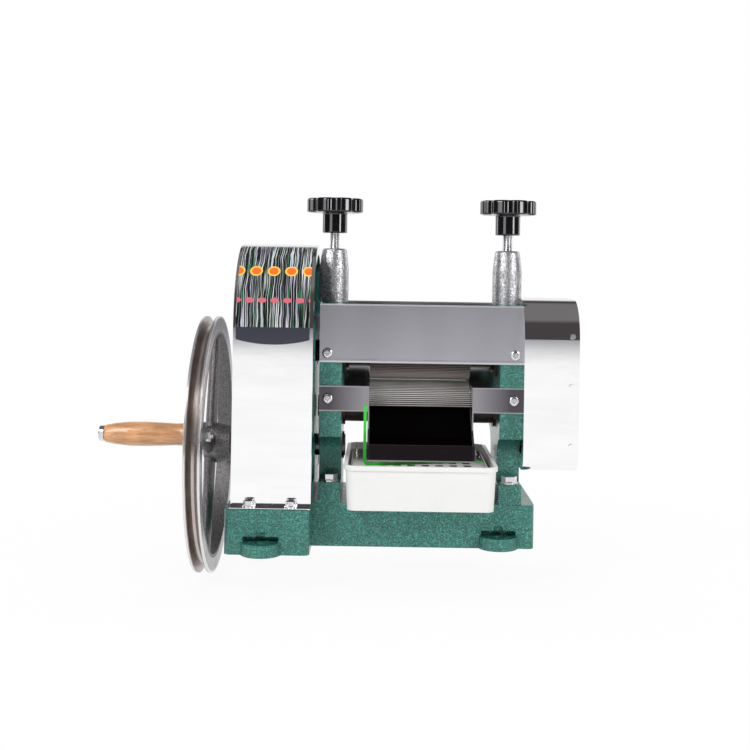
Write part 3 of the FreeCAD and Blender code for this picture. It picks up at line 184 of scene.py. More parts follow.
def turned(rows, centre, axis, segments):
    """Points of a turned surface: centre + along * axis + radius * (cos, sin) across it. Each row gives an
    along and a radius, as numbers or as one value for each angle; a zero radius is a pole."""
    angle = np.linspace(0, 2 * math.pi, segments, endpoint=False)
    along = np.array([np.broadcast_to(row[0], segments) for row in rows], float)
    radius = np.array([np.broadcast_to(row[1], segments) for row in rows], float)
    u = radius * np.cos(angle)
    v = radius * np.sin(angle)
    order = {"x": (along, u, v), "y": (v, along, u), "z": (u, v, along)}[axis]
    return np.stack(order, axis=-1) + np.array(centre, float)


def node_points(name):
    """All points of a CAD node's mesh as an (n, 3) array."""
    mesh = NODES[name].data
    flat = np.empty(len(mesh.vertices) * 3)
    mesh.vertices.foreach_get("co", flat)
    return flat.reshape(-1, 3)


def dress(piece, material, body, slot, *nodes):
    """Give a finished piece its material and its body, and hide the nodes that it stands for. The slot is not
    used.
    """
    piece.data.materials.clear()
    piece.data.materials.append(material)
    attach(piece, body)
    if nodes:
        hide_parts(*nodes)


def paint(material, *names):
    """Put a material on nodes whose shape stays."""
    for name in names:
        node = NODES[name]
        if not node.material_slots:
            node.data.materials.append(material)
        for place in node.material_slots:
            place.material = material


# Shader node groups

def group(name, inputs, outputs):
    """A new shader node group with its named sockets, and its input and output nodes."""
    tree = bpy.data.node_groups.new(name, "ShaderNodeTree")
    for label, kind, value in inputs:
        socket = tree.interface.new_socket(name=label, in_out="INPUT", socket_type=kind)
        if value is not None:
            socket.default_value = value
    for label, kind in outputs:
        tree.interface.new_socket(name=label, in_out="OUTPUT", socket_type=kind)
    return tree, tree.nodes.new("NodeGroupInput"), tree.nodes.new("NodeGroupOutput")


def link(tree, a, b):
    tree.links.new(a, b)


def tone(colour, factor):
    """A colour made lighter or darker."""
    return tuple(min(1.0, part * factor) for part in colour)


def maths(tree, operation, a, b=None, clamp=False):
    """A Math node whose inputs are sockets or plain numbers."""
    node = tree.nodes.new("ShaderNodeMath")
    node.operation = operation
    node.use_clamp = clamp
    for i, value in enumerate((a, b)):
        if value is None:
            continue
        if isinstance(value, (int, float)):
            node.inputs[i].default_value = value
        else:
            link(tree, value, node.inputs[i])
    return node.outputs[0]


def mix_colour(tree, factor, a, b):
    """A colour Mix node whose inputs are sockets or plain values."""
    node = tree.nodes.new("ShaderNodeMix")
    node.data_type = "RGBA"
    for socket, value in ((node.inputs[0], factor), (node.inputs[6], a), (node.inputs[7], b)):
        if isinstance(value, bpy.types.NodeSocket):
            link(tree, value, socket)
        elif isinstance(value, (int, float)):
            socket.default_value = value
        else:
            socket.default_value = tuple(value) + (1.0,)
    return node.outputs[2]


def mapped(tree, coords, scale):
    node = tree.nodes.new("ShaderNodeMapping")
    node.inputs["Scale"].default_value = scale
    link(tree, coords, node.inputs["Vector"])
    return node.outputs[0]


def noise(tree, coords, scale, detail=3.0, rough=0.5):
    node = tree.nodes.new("ShaderNodeTexNoise")
    node.inputs["Detail"].default_value = detail
    node.inputs["Roughness"].default_value = rough
    if isinstance(scale, (int, float)):
        node.inputs["Scale"].default_value = scale
    else:
        link(tree, scale, node.inputs["Scale"])
    link(tree, coords, node.inputs["Vector"])
    return node.outputs[0]


def cells(tree, coords, scale, randomness=1.0):
    """Distance to the nearest point of a cell pattern."""
    node = tree.nodes.new("ShaderNodeTexVoronoi")
    node.inputs["Scale"].default_value = scale
    node.inputs["Randomness"].default_value = randomness
    link(tree, coords, node.inputs["Vector"])
    return node.outputs["Distance"]


def spread(tree, value, low, high):
    """A value stretched so that low becomes 0 and high becomes 1, clamped."""
    node = tree.nodes.new("ShaderNodeMapRange")
    node.clamp = True
    node.inputs["From Min"].default_value = low
    node.inputs["From Max"].default_value = high
    link(tree, value, node.inputs["Value"])
    return node.outputs[0]


def fleck_group():
    """Hammertone flecks: cell noise broken by fine noise. Gives a fleck mask, a height and a slow drift."""
    tree, start, end = group("Hammertone",
                             [("Vector", "NodeSocketVector", None), ("Scale", "NodeSocketFloat", 560.0)],
                             [("Fleck", "NodeSocketFloat"), ("Height", "NodeSocketFloat"),
                              ("Drift", "NodeSocketFloat")])
    patches = tree.nodes.new("ShaderNodeTexVoronoi")
    patches.feature = "SMOOTH_F1"
    link(tree, start.outputs["Vector"], patches.inputs["Vector"])
    link(tree, start.outputs["Scale"], patches.inputs["Scale"])
    fine = noise(tree, start.outputs["Vector"], 1300.0, 2.0, 0.6)
    both = maths(tree, "ADD", maths(tree, "MULTIPLY", patches.outputs["Distance"], 0.6),
                 maths(tree, "MULTIPLY", fine, 0.6))
    link(tree, spread(tree, both, 0.50, 0.74), end.inputs["Fleck"])
    link(tree, both, end.inputs["Height"])
    drift = noise(tree, start.outputs["Vector"], 18.0, 2.0, 0.5)
    link(tree, spread(tree, drift, 0.3, 0.7), end.inputs["Drift"])
    return tree


def cast_group():
    """Rough casting: noises of two sizes. Gives a height and a mottle mask."""
    tree, start, end = group("Casting grain", [("Vector", "NodeSocketVector", None),
                                               ("Scale", "NodeSocketFloat", 700.0)],
                             [("Height", "NodeSocketFloat"), ("Mottle", "NodeSocketFloat")])
    coarse = noise(tree, start.outputs["Vector"], start.outputs["Scale"], 4.0, 0.6)
    wide = noise(tree, start.outputs["Vector"], 160.0, 2.0, 0.5)
    height = maths(tree, "ADD", maths(tree, "MULTIPLY", coarse, 0.8), maths(tree, "MULTIPLY", wide, 0.12))
    link(tree, height, end.inputs["Height"])
    link(tree, spread(tree, height, 0.36, 0.58), end.inputs["Mottle"])
    return tree


def roll_group():
    """Rolled sheet: noise drawn out along one direction. Gives a streak and a cloud mask."""
    tree, start, end = group("Rolled sheet", [("Vector", "NodeSocketVector", None)],
                             [("Streak", "NodeSocketFloat"), ("Cloud", "NodeSocketFloat")])
    streak = noise(tree, start.outputs["Vector"], 60.0, 3.0, 0.6)
    link(tree, streak, end.inputs["Streak"])
    cloud = noise(tree, start.outputs["Vector"], 9.0, 2.0, 0.5)
    link(tree, spread(tree, cloud, 0.3, 0.7), end.inputs["Cloud"])
    return tree


def shared_group(name):
    makers = {"Hammertone": fleck_group, "Casting grain": cast_group, "Rolled sheet": roll_group}
    return bpy.data.node_groups.get(name) or makers[name]()


def placed_group(tree, name, coords, scale=None):
    """A shared group in a material's tree, fed with coordinates."""
    node = tree.nodes.new("ShaderNodeGroup")
    node.node_tree = shared_group(name)
    link(tree, coords, node.inputs["Vector"])
    if scale is not None:
        node.inputs["Scale"].default_value = scale
    return node


class Finish:
    """A new material with its Principled shader and its Object coordinates."""

    def __init__(self, name, colour, metallic=0.0, rough=0.5, specular=0.5, coat=0.0, coat_rough=0.05):
        self.material = bpy.data.materials.new(name)
        self.material.use_nodes = True
        self.material.diffuse_color = tuple(colour[:3]) + (1.0,)
        self.tree = self.material.node_tree
        self.shader = self.tree.nodes["Principled BSDF"]
        self.shader.inputs["Base Color"].default_value = tuple(colour[:3]) + (1.0,)
        self.shader.inputs["Metallic"].default_value = metallic
        self.shader.inputs["Roughness"].default_value = rough
        self.shader.inputs["Specular IOR Level"].default_value = specular
        self.shader.inputs["Coat Weight"].default_value = coat
        self.shader.inputs["Coat Roughness"].default_value = coat_rough
        self.coords = self.tree.nodes.new("ShaderNodeTexCoord").outputs["Object"]

    def colour(self, socket):
        link(self.tree, socket, self.shader.inputs["Base Color"])

    def rough(self, value, low, high):
        """Roughness from low to high as the value goes from 0 to 1."""
        node = self.tree.nodes.new("ShaderNodeMapRange")
        node.inputs["To Min"].default_value = low
        node.inputs["To Max"].default_value = high
        link(self.tree, value, node.inputs["Value"])
        link(self.tree, node.outputs[0], self.shader.inputs["Roughness"])

    def bump(self, height, distance, strength=1.0, arris=0.0):
        """Bump from a height. An arris over zero also rounds the shading of edges by that radius."""
        node = self.tree.nodes.new("ShaderNodeBump")
        node.inputs["Distance"].default_value = distance
        node.inputs["Strength"].default_value = strength
        link(self.tree, height, node.inputs["Height"])
        if arris > 0:
            rounded = self.tree.nodes.new("ShaderNodeBevel")
            rounded.samples = 6
            rounded.inputs["Radius"].default_value = arris
            link(self.tree, rounded.outputs[0], node.inputs["Normal"])
        link(self.tree, node.outputs[0], self.shader.inputs["Normal"])

    def axis(self, index):
        """One of the Object coordinates."""
        node = self.tree.nodes.new("ShaderNodeSeparateXYZ")
        link(self.tree, self.coords, node.inputs[0])
        return node.outputs[index]

    def radius(self, centre_z):
        """How far a point is from the line along X at y = 0 and the given height."""
        y = self.axis(1)
        z = maths(self.tree, "SUBTRACT", self.axis(2), centre_z)
        squares = [maths(self.tree, "MULTIPLY", part, part) for part in (y, z)]
        return maths(self.tree, "SQRT", maths(self.tree, "ADD", *squares))


# Materials

def enamel():
    """Green hammertone enamel: fine light and dark flecks, slow drift of tone, gloss and rounded arrises."""
    colours = settings()[1]
    f = Finish("Hammertone enamel", colours.enamel, 0.25, 0.3, 0.5, 0.4, 0.1)
    flecks = placed_group(f.tree, "Hammertone", f.coords, 560.0)
    low = mix_colour(f.tree, flecks.outputs["Drift"], tone(colours.enamel, 0.64), tone(colours.enamel, 0.8))
    high = mix_colour(f.tree, flecks.outputs["Drift"], tone(colours.enamel, 1.7), tone(colours.enamel, 2.2))
    f.colour(mix_colour(f.tree, flecks.outputs["Fleck"], low, high))
    f.rough(flecks.outputs["Fleck"], 0.34, 0.2)
    f.bump(flecks.outputs["Height"], 0.0011, 0.9, 0.0016)
    return f.material


def silver_cast():
    """Silver paint on a rough casting: finely pitted, light and dark."""
    colours = settings()[1]
    f = Finish("Silver cast paint", colours.silver, 0.85, 0.42)
    grain = placed_group(f.tree, "Casting grain", f.coords, 520.0)
    dark, light = tone(colours.silver, 0.42), tone(colours.silver, 1.6)
    f.colour(mix_colour(f.tree, grain.outputs["Mottle"], dark, light))
    f.rough(grain.outputs["Mottle"], 0.38, 0.24)
    f.bump(grain.outputs["Height"], 0.0010, 0.6, 0.001)
    return f.material


def wheel_iron():
    """Grey cast spokes and web, a bright machined rim and a brownish belt groove, by radius, with a painted
    highlight along the middle of the groove.
    """
    f = Finish("Handwheel iron", (0.2, 0.2, 0.2), 0.85, 0.4)
    grain = placed_group(f.tree, "Casting grain", f.coords, 600.0)
    radius = f.radius(middle(WHEEL, 2))
    rim_radius = (WHEEL[1][2] - WHEEL[0][2]) / 2
    rim = spread(f.tree, radius, rim_radius - 0.0175, rim_radius - 0.0165)
    across = maths(f.tree, "ABSOLUTE", maths(f.tree, "SUBTRACT", f.axis(0), WHEEL_RIM_X))
    groove = maths(f.tree, "MULTIPLY", spread(f.tree, across, 0.0072, 0.0064), rim)
    lip = spread(f.tree, radius, rim_radius - 0.0030, rim_radius - 0.0018)
    # Painted highlight: the crest mask marks a band along the middle of the groove that is painted paler than
    # the brown.
    crest = maths(f.tree, "MULTIPLY", spread(f.tree, across, 0.0030, 0.0012), rim)
    rust = noise(f.tree, f.coords, 45.0, 4.0, 0.6)
    cast = mix_colour(f.tree, grain.outputs["Mottle"], (0.12, 0.115, 0.12), (0.27, 0.26, 0.265))
    side = mix_colour(f.tree, spread(f.tree, rust, 0.45, 0.7), (0.30, 0.29, 0.30), (0.20, 0.185, 0.18))
    bright = mix_colour(f.tree, lip, side, (0.80, 0.79, 0.80))
    brown = mix_colour(f.tree, spread(f.tree, rust, 0.35, 0.65), (0.26, 0.215, 0.20), (0.40, 0.345, 0.325))
    groove_painted_highlight = mix_colour(f.tree, maths(f.tree, "MULTIPLY", crest, 0.6), brown, (0.72, 0.66, 0.62))
    f.colour(mix_colour(f.tree, groove, mix_colour(f.tree, rim, cast, bright), groove_painted_highlight))
    f.rough(rim, 0.46, 0.26)
    pits = maths(f.tree, "MULTIPLY", grain.outputs["Height"], maths(f.tree, "SUBTRACT", 1.0, rim))
    f.bump(pits, 0.0008, 0.6, 0.0008)
    return f.material


def bright_sheet(name, colour, rough, direction):
    """Bright rolled stainless sheet with faint streaks and clouding along a direction."""
    f = Finish(name, colour, 1.0, rough[0])
    roll = placed_group(f.tree, "Rolled sheet", mapped(f.tree, f.coords, direction))
    f.colour(mix_colour(f.tree, roll.outputs["Cloud"], tone(colour, 0.97), tone(colour, 1.03)))
    f.rough(roll.outputs["Streak"], rough[0], rough[1])
    f.bump(roll.outputs["Streak"], 0.00003, 0.03)
    return f.material


def hem_mask(f, axis, places, half):
    """A mask of lines across one axis: 1 within half of any of the places."""
    value = f.axis(axis)
    mask = None
    for place in places:
        off = maths(f.tree, "ABSOLUTE", maths(f.tree, "SUBTRACT", value, place))
        near = spread(f.tree, off, half * 1.3, half)
        mask = near if mask is None else maths(f.tree, "MAXIMUM", mask, near)
    return mask


def shield_sheet():
    """Satin sheet of the shields: bluish grey, clouded up and down, with painted highlights along the hems."""
    colour = (0.56, 0.56, 0.605)
    f = Finish("Shield sheet", colour, 1.0, 0.3)
    roll = placed_group(f.tree, "Rolled sheet", mapped(f.tree, f.coords, (1.0, 1.0, 0.25)))
    face = mix_colour(f.tree, roll.outputs["Cloud"], tone(colour, 0.86), tone(colour, 1.12))
    # Painted highlight: thin bright lines along the top and bottom hems.
    hem_highlights = hem_mask(f, 2, (SHIELD[0][2] + 0.0006, SHIELD[1][2] - 0.0004), 0.0011)
    f.colour(mix_colour(f.tree, hem_highlights, face, (0.93, 0.93, 0.94)))
    f.rough(roll.outputs["Streak"], 0.26, 0.36)
    f.bump(roll.outputs["Streak"], 0.0001, 0.05)
    return f.material


def chute_sheet():
    """Dark polished chute plate with painted highlights along its borders, a flap painted paler as a painted
    reflection, and grey wings with painted shade that deepens outward.
    """
    f = Finish("Chute sheet", (0.05, 0.045, 0.05), 1.0, 0.1, 0.2)
    roll = placed_group(f.tree, "Rolled sheet", f.coords)
    centre = middle(CHUTE, 0)
    half = CHUTE_HALF
    across = maths(f.tree, "ABSOLUTE", maths(f.tree, "SUBTRACT", f.axis(0), centre))
    wings = spread(f.tree, across, half, half + 0.0004)
    flap = spread(f.tree, f.axis(1), CHUTE[0][1] + 0.0070, CHUTE[0][1] + 0.0062)
    plate = mix_colour(f.tree, roll.outputs["Cloud"], (0.005, 0.003, 0.004), (0.009, 0.007, 0.008))
    # Painted reflection: the flap is painted paler than the plate for the bright light it reflects.
    plate = mix_colour(f.tree, flap, plate, (0.22, 0.19, 0.22))
    # Painted shade: the wings darken outward, away from the plate, toward the recess beside the frames.
    wing_painted_shade = spread(f.tree, across, half + 0.005, half + 0.045)
    shaded_wing_colour = mix_colour(f.tree, wing_painted_shade, (0.30, 0.29, 0.31), (0.085, 0.08, 0.09))
    # Painted highlights: the plate's side edges, its bottom edge and the wings' hems are painted bright.
    sides = maths(f.tree, "MULTIPLY", spread(f.tree, across, half - 0.0009, half - 0.0006),
                  maths(f.tree, "SUBTRACT", 1.0, wings))
    low = spread(f.tree, f.axis(2), CHUTE[0][2] + 0.0014, CHUTE[0][2] + 0.0009)
    rims = hem_mask(f, 2, (WING_Z[0] + 0.0004, WING_Z[1] - 0.0004), 0.0007)
    painted_edge_highlight = maths(f.tree, "MAXIMUM", maths(f.tree, "MAXIMUM", sides, low),
                   maths(f.tree, "MULTIPLY", rims, wings))
    base = mix_colour(f.tree, wings, plate, shaded_wing_colour)
    f.colour(mix_colour(f.tree, painted_edge_highlight, base, (0.36, 0.34, 0.36)))
    f.rough(roll.outputs["Streak"], 0.08, 0.14)
    f.bump(roll.outputs["Streak"], 0.0001, 0.04)
    return f.material


def machined(name, colour, rough=(0.22, 0.4), direction=(400.0, 6.0, 6.0), metallic=1.0):
    """Turned or milled metal with fine tool marks across the given direction, and stains."""
    f = Finish(name, colour, metallic, rough[0])
    marks = noise(f.tree, mapped(f.tree, f.coords, direction), 6.0, 3.0, 0.6)
    stain = noise(f.tree, f.coords, 30.0, 3.0, 0.55)
    f.colour(mix_colour(f.tree, spread(f.tree, stain, 0.35, 0.7), tone(colour, 0.75), colour))
    f.rough(marks, rough[0], rough[1])
    f.bump(marks, 0.0003, 0.25)
    return f.material


def fluted_steel(name, colour, crest_colour, centre_z):
    """Fluted roller: bright crests and dark flutes, by radius."""
    f = Finish(name, colour, 0.55, 0.4)
    crest = spread(f.tree, f.radius(centre_z), 0.0316, 0.0324)
    stain = noise(f.tree, f.coords, 70.0, 3.0, 0.6)
    base = mix_colour(f.tree, spread(f.tree, stain, 0.35, 0.7), tone(colour, 0.7), colour)
    f.colour(mix_colour(f.tree, crest, base, crest_colour))
    f.rough(stain, 0.38, 0.5)
    f.bump(noise(f.tree, f.coords, 900.0, 2.0, 0.5), 0.0001, 0.2)
    return f.material


def zinc():
    """Zinc plated steel: bright, slightly mottled."""
    f = Finish("Zinc plating", (0.80, 0.80, 0.81), 1.0, 0.22)
    spots = noise(f.tree, f.coords, 700.0, 3.0, 0.6)
    f.colour(mix_colour(f.tree, spread(f.tree, spots, 0.4, 0.65), (0.66, 0.66, 0.68), (0.88, 0.88, 0.88)))
    f.rough(spots, 0.16, 0.3)
    f.bump(spots, 0.0002, 0.2, 0.0004)
    return f.material


def black_knob():
    """Glossy black moulding with a faint orange peel."""
    f = Finish("Black moulding", (0.004, 0.004, 0.006), 0.0, 0.1, 0.5, 0.4, 0.03)
    f.shader.inputs["IOR"].default_value = 1.6
    peel = noise(f.tree, f.coords, 260.0, 2.0, 0.5)
    patch = spread(f.tree, peel, 0.35, 0.65)
    f.colour(mix_colour(f.tree, patch, (0.003, 0.003, 0.005), (0.006, 0.006, 0.009)))
    f.rough(peel, 0.06, 0.12)
    f.bump(peel, 0.0002, 0.06)
    return f.material


def wood():
    """Pale turned wood under varnish: grain along X, darker rings and a few knots."""
    colours = settings()[1]
    f = Finish("Varnished wood", colours.wood, 0.0, 0.3, 0.5, 0.6, 0.1)
    grain = noise(f.tree, mapped(f.tree, f.coords, (1.0, 7.0, 7.0)), 34.0, 5.0, 0.62)
    fine = noise(f.tree, mapped(f.tree, f.coords, (1.0, 24.0, 24.0)), 60.0, 3.0, 0.6)
    knots = cells(f.tree, mapped(f.tree, f.coords, (0.7, 1.5, 1.5)), 30.0)
    knot = spread(f.tree, knots, 0.20, 0.05)
    light = tone(colours.wood, 1.2)
    dark = tone(colours.wood, 0.62)
    body = mix_colour(f.tree, spread(f.tree, grain, 0.34, 0.62), dark, light)
    body = mix_colour(f.tree, maths(f.tree, "MULTIPLY", spread(f.tree, fine, 0.5, 0.7), 0.25), body, dark)
    f.colour(mix_colour(f.tree, maths(f.tree, "MULTIPLY", knot, 0.6), body, (0.20, 0.08, 0.03)))
    f.rough(grain, 0.26, 0.4)
    f.bump(fine, 0.0002, 0.2)
    return f.material


def moulding(name, colour, rough, cloud):
    """Smooth moulded plastic with a slow haze of tone and a faint surface ripple."""
    f = Finish(name, colour, 0.0, rough, 0.5)
    haze = noise(f.tree, f.coords, 25.0, 3.0, 0.5)
    f.colour(mix_colour(f.tree, spread(f.tree, haze, 0.3, 0.7), tone(colour, cloud), colour))
    f.rough(haze, rough, rough + 0.1)
    f.bump(noise(f.tree, f.coords, 300.0, 2.0, 0.5), 0.0002, 0.06)
    return f.material


def strainer_sheet():
    """Perforated grey sheet: the punched holes are painted as dark dimples, a painted shade in each hole."""
    f = Finish("Perforated sheet", (0.5, 0.5, 0.5), 1.0, 0.35)
    # Painted shade: each punched hole is a dark spot with a dimple bump, not an opening.
    hole_shade = spread(f.tree, cells(f.tree, f.coords, 360.0, 0.15), 0.42, 0.30)
    f.colour(mix_colour(f.tree, hole_shade, (0.66, 0.65, 0.63), (0.16, 0.15, 0.14)))
    f.rough(hole_shade, 0.28, 0.7)
    f.bump(hole_shade, 0.0005, -0.6)
    return f.material


def label_print():
    """Printed label on its own UV map: pale, green and violet stalks over black, a row of orange discs with
    yellow rims, a row of pink dashes, and a plain blue grey foot."""
    f = Finish("Printed label", (0.05, 0.05, 0.06), 0.0, 0.16, 0.5, 0.3, 0.05)
    tree = f.tree
    uv = tree.nodes.new("ShaderNodeUVMap")
    uv.uv_map = "label"
    split = tree.nodes.new("ShaderNodeSeparateXYZ")
    link(tree, uv.outputs[0], split.inputs[0])
    across, down = split.outputs[0], split.outputs[1]
    bend = noise(tree, mapped(tree, uv.outputs[0], (14.0, 9.0, 1.0)), 3.0, 2.0, 0.5)
    joined = tree.nodes.new("ShaderNodeCombineXYZ")
    link(tree, maths(tree, "ADD", across, maths(tree, "MULTIPLY", bend, 0.007)), joined.inputs[0])
    link(tree, down, joined.inputs[1])
    stalks = noise(tree, mapped(tree, joined.outputs[0], (900.0, 9.0, 1.0)), 1.0, 2.0, 0.5)
    leaves = noise(tree, mapped(tree, joined.outputs[0], (520.0, 16.0, 1.0)), 1.3, 2.0, 0.5)
    tint = noise(tree, mapped(tree, joined.outputs[0], (40.0, 30.0, 1.0)), 1.0, 2.0, 0.5)
    pale = mix_colour(tree, spread(tree, tint, 0.40, 0.62), (0.62, 0.58, 0.72), (0.80, 0.86, 0.80))
    body = mix_colour(tree, spread(tree, stalks, 0.52, 0.60), (0.006, 0.008, 0.010), pale)
    body = mix_colour(tree, spread(tree, leaves, 0.60, 0.66), body, (0.03, 0.22, 0.09))
    discs = cells(tree, mapped(tree, uv.outputs[0], (50.0, 50.0, 1.0)), 1.0, 0.0)
    row = maths(tree, "MULTIPLY", spread(tree, down, 0.0700, 0.0702), spread(tree, down, 0.0900, 0.0898))
    disc = maths(tree, "MULTIPLY", spread(tree, discs, 0.38, 0.35), row)
    core = maths(tree, "MULTIPLY", spread(tree, discs, 0.29, 0.25), row)
    body = mix_colour(tree, disc, body, (0.95, 0.62, 0.10))
    body = mix_colour(tree, core, body, (0.85, 0.17, 0.02))
    dashes = cells(tree, mapped(tree, uv.outputs[0], (70.0, 110.0, 1.0)), 1.0, 0.0)
    low_row = maths(tree, "MULTIPLY", spread(tree, down, 0.1137, 0.1139), spread(tree, down, 0.1227, 0.1225))
    dash = maths(tree, "MULTIPLY", spread(tree, dashes, 0.36, 0.32), low_row)
    body = mix_colour(tree, dash, body, (0.70, 0.16, 0.20))
    body = mix_colour(tree, spread(tree, down, LABEL_FOOT, LABEL_FOOT + 0.0004), body, (0.035, 0.036, 0.055))
    f.colour(body)
    f.rough(stalks, 0.14, 0.22)
    return f.material


# Pieces

def star_outline(segments, rim, lobes, bite_r, bite_at):
    """Radius of a star knob's outline: the rim, or where a round bite of radius bite_r, centred bite_at out,
    comes nearer: bite_at * cos(a) - sqrt(bite_r^2 - (bite_at * sin(a))^2). The corners are then averaged
    over a few degrees."""
    angle = np.linspace(0, 2 * math.pi, segments, endpoint=False)
    pitch = 2 * math.pi / lobes
    a = (angle - 0.25 * pitch + pitch / 2) % pitch - pitch / 2
    under = bite_r ** 2 - (bite_at * np.sin(a)) ** 2
    bitten = np.where(under > 0, bite_at * np.cos(a) - np.sqrt(np.maximum(under, 0)), rim)
    outline = np.minimum(rim, bitten)
    spreading = np.arange(segments)
    spreading = np.minimum(spreading, segments - spreading)
    weights = np.exp(-0.5 * (spreading / (segments * 0.0052)) ** 2)
    return np.real(np.fft.ifft(np.fft.fft(outline) * np.fft.fft(weights / weights.sum())))


def star_knob(side):
    """A star knob: bored hub, fillet, lobed head with rounded edges and a shallow dome."""
    node = side + "_star_knob"
    low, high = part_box(node)
    x = middle((low, high), 0)
    half = (high[0] - low[0]) / 2
    segments = 252
    bite_r, bite_at = 9 * MM, 37.5 * MM
    edge = star_outline(segments, half, settings()[2].star_lobes, bite_r, bite_at)
    hub = 14.8 * MM
    bore = 6.06 * MM
    seat = high[2] - 18 * MM
    rows = [(seat + 6 * MM, 0), (seat + 6 * MM, bore), (low[2], bore), (low[2], hub - 1.4 * MM),
            (low[2] + 0.4 * MM, hub - 0.5 * MM), (low[2] + 1.4 * MM, hub), (low[2] + 1.6 * MM, hub),
            (seat - 2.4 * MM, hub), (seat - 2.2 * MM, hub), (seat - 0.9 * MM, hub + 0.35 * MM),
            (seat - 0.2 * MM, hub + 1.2 * MM), (seat, hub + 2.6 * MM)]
    profile = ((0.0, 2.4), (0.3, 1.0), (0.9, 0.3), (1.8, 0.0), (2.0, 0.0), (14.4, 0.0), (14.6, 0.0),
               (15.8, 0.4), (16.5, 1.1), (16.9, 2.4), (17.15, 4.6))
    rows += [(seat + up * MM, edge - inset * MM) for up, inset in profile]
    crown = edge - 4.6 * MM
    rows += [(high[2] - 0.55 * MM, crown * 0.75), (high[2] - 0.2 * MM, crown * 0.5), (high[2], crown * 0.22),
             (high[2], 0)]
    piece = gridded(side + "_knob_moulding", [turned(rows, (x, 0, 0), "z", segments)], sharp=50.0)
    return piece, node


def threaded_screw(side):
    """The pressure screw: radius = full - depth * (1 - |2 * part - 1|), where part is the fraction left of
    along / pitch - angle / turn. The thread fades out above the neck and below the top."""
    sizes = settings()[2]
    node = side + "_pressure_screw"
    low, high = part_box(node)
    x = middle((low, high), 0)
    full = (high[0] - low[0]) / 2
    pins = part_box("screw_retaining_pins")
    neck = middle(pins, 2)
    reach = (pins[1][2] - pins[0][2]) / 2 + 0.3 * MM
    segments = 40
    angle = np.linspace(0, 1, segments, endpoint=False)
    waist = 4 * MM
    rows = [(low[2], 0), (low[2], full - MM), (low[2] + MM, full), (neck - reach, full), (neck - reach, waist),
            (neck + reach, waist), (neck + reach, full)]
    first = neck + reach + 8 * MM
    last = high[2] - 1.5 * MM
    for along in np.arange(first, last, sizes.thread_pitch / 7):
        part = (along / sizes.thread_pitch - angle) % 1.0
        fade = min(1.0, (along - first) / (2 * MM), (last - along) / (2 * MM))
        rows.append((along, full - sizes.thread_depth * fade * (1 - np.abs(2 * part - 1))))
    rows += [(last, full), (high[2], full - 0.8 * MM), (high[2], 0)]
    return gridded(side + "_screw_thread", [turned(rows, (x, 0, 0), "z", segments)], sharp=60.0), node


def screw_places(node):
    """The middle, face and outward way of each screw in a node: points within 13 mm of the first one left
    belong to one screw, and its head is where they reach out furthest."""
    left = node_points(node)
    places = []
    while len(left):
        near = (np.hypot(left[:, 0] - left[0, 0], left[:, 2] - left[0, 2]) < 13 * MM) & \
               (np.abs(left[:, 1] - left[0, 1]) < 25 * MM)
        own = left[near]
        left = left[~near]
        x = (own[:, 0].min() + own[:, 0].max()) / 2
        z = (own[:, 2].min() + own[:, 2].max()) / 2
        head = own[np.hypot(own[:, 0] - x, own[:, 2] - z) > 4.5 * MM]
        way = 1.0 if head[:, 1].mean() > own[:, 1].mean() else -1.0
        face = head[:, 1].min() if way > 0 else head[:, 1].max()
        depth = face - own[:, 1].min() if way > 0 else own[:, 1].max() - face
        places.append((x, face, z, way, depth))
    return places


def cross_screws(name, node, seed):
    """Pan head screws with a cross recess: height = dome(radius) - recess * mask, where the mask is 1 where
    one of the two axes is nearer than the arm's half width and the other nearer than its reach."""
    sizes = settings()[2]
    turns = np.random.default_rng(seed)
    segments = 72
    angle = np.linspace(0, 2 * math.pi, segments, endpoint=False)
    blocks = []
    for x, face, z, way, depth in screw_places(node):
        turn = turns.uniform(0, math.pi / 2)
        rows = [(face + way * 1.45 * MM, 0)]
        for r in np.concatenate([np.linspace(0.2, 3.3, 22), np.linspace(3.5, 5.9, 11), [6.0]]) * MM:
            dome = 3.15 * MM * (1 - (r / (6.05 * MM)) ** 5) ** 0.45
            u = np.abs(r * np.cos(angle - turn))
            v = np.abs(r * np.sin(angle - turn))
            across = np.clip((sizes.recess_half - np.minimum(u, v)) / (0.25 * MM) + 0.5, 0, 1)
            along = np.clip((sizes.recess_reach - np.maximum(u, v)) / (0.35 * MM) + 0.5, 0, 1)
            rows.append((face + way * (dome - 1.7 * MM * across * along), r))
        rows += [(face, 6.0 * MM), (face, 3 * MM), (face - way * (depth - MM), 3 * MM),
                 (face - way * depth, 2 * MM), (face - way * depth, 0)]
        blocks.append(turned(rows, (x, 0, z), "y", segments))
    return gridded(name, blocks, sharp=40.0)


def turned_grip():
    """The wooden grip: radius = a smooth curve through the turner's stations, bored through."""
    low, high = GRIP
    full = (high[2] - low[2]) / 2
    stations = ((0.0, 0.67), (0.02, 0.72), (0.12, 0.86), (0.3, 0.98), (0.48, 1.0), (0.68, 0.95), (0.86, 0.89),
                (0.93, 0.91), (0.98, 0.99), (1.0, 0.96))
    length = high[0] - low[0]
    share = np.linspace(0, 1, 121)
    radius = np.interp(share, [t for t, _ in stations], [r for _, r in stations])
    bell = np.hanning(11)[1:-1]
    soft = np.convolve(np.pad(radius, 4, mode="edge"), bell / bell.sum(), mode="valid")
    bore = 4.1 * MM
    start = full * soft[0]
    rows = [(low[0], bore), (low[0], start - 1.2 * MM), (low[0] + 0.4 * MM, start - 0.4 * MM)]
    rows += [(low[0] + length * t, full * r) for t, r in zip(share[2:-1], soft[2:-1])]
    rows += [(high[0], full * soft[-1] - 0.6 * MM), (high[0], bore), (low[0], bore)]
    centre = (0, middle(GRIP, 1), middle(GRIP, 2))
    return gridded("turned_grip", [turned(rows, centre, "x", 64)], sharp=45.0)


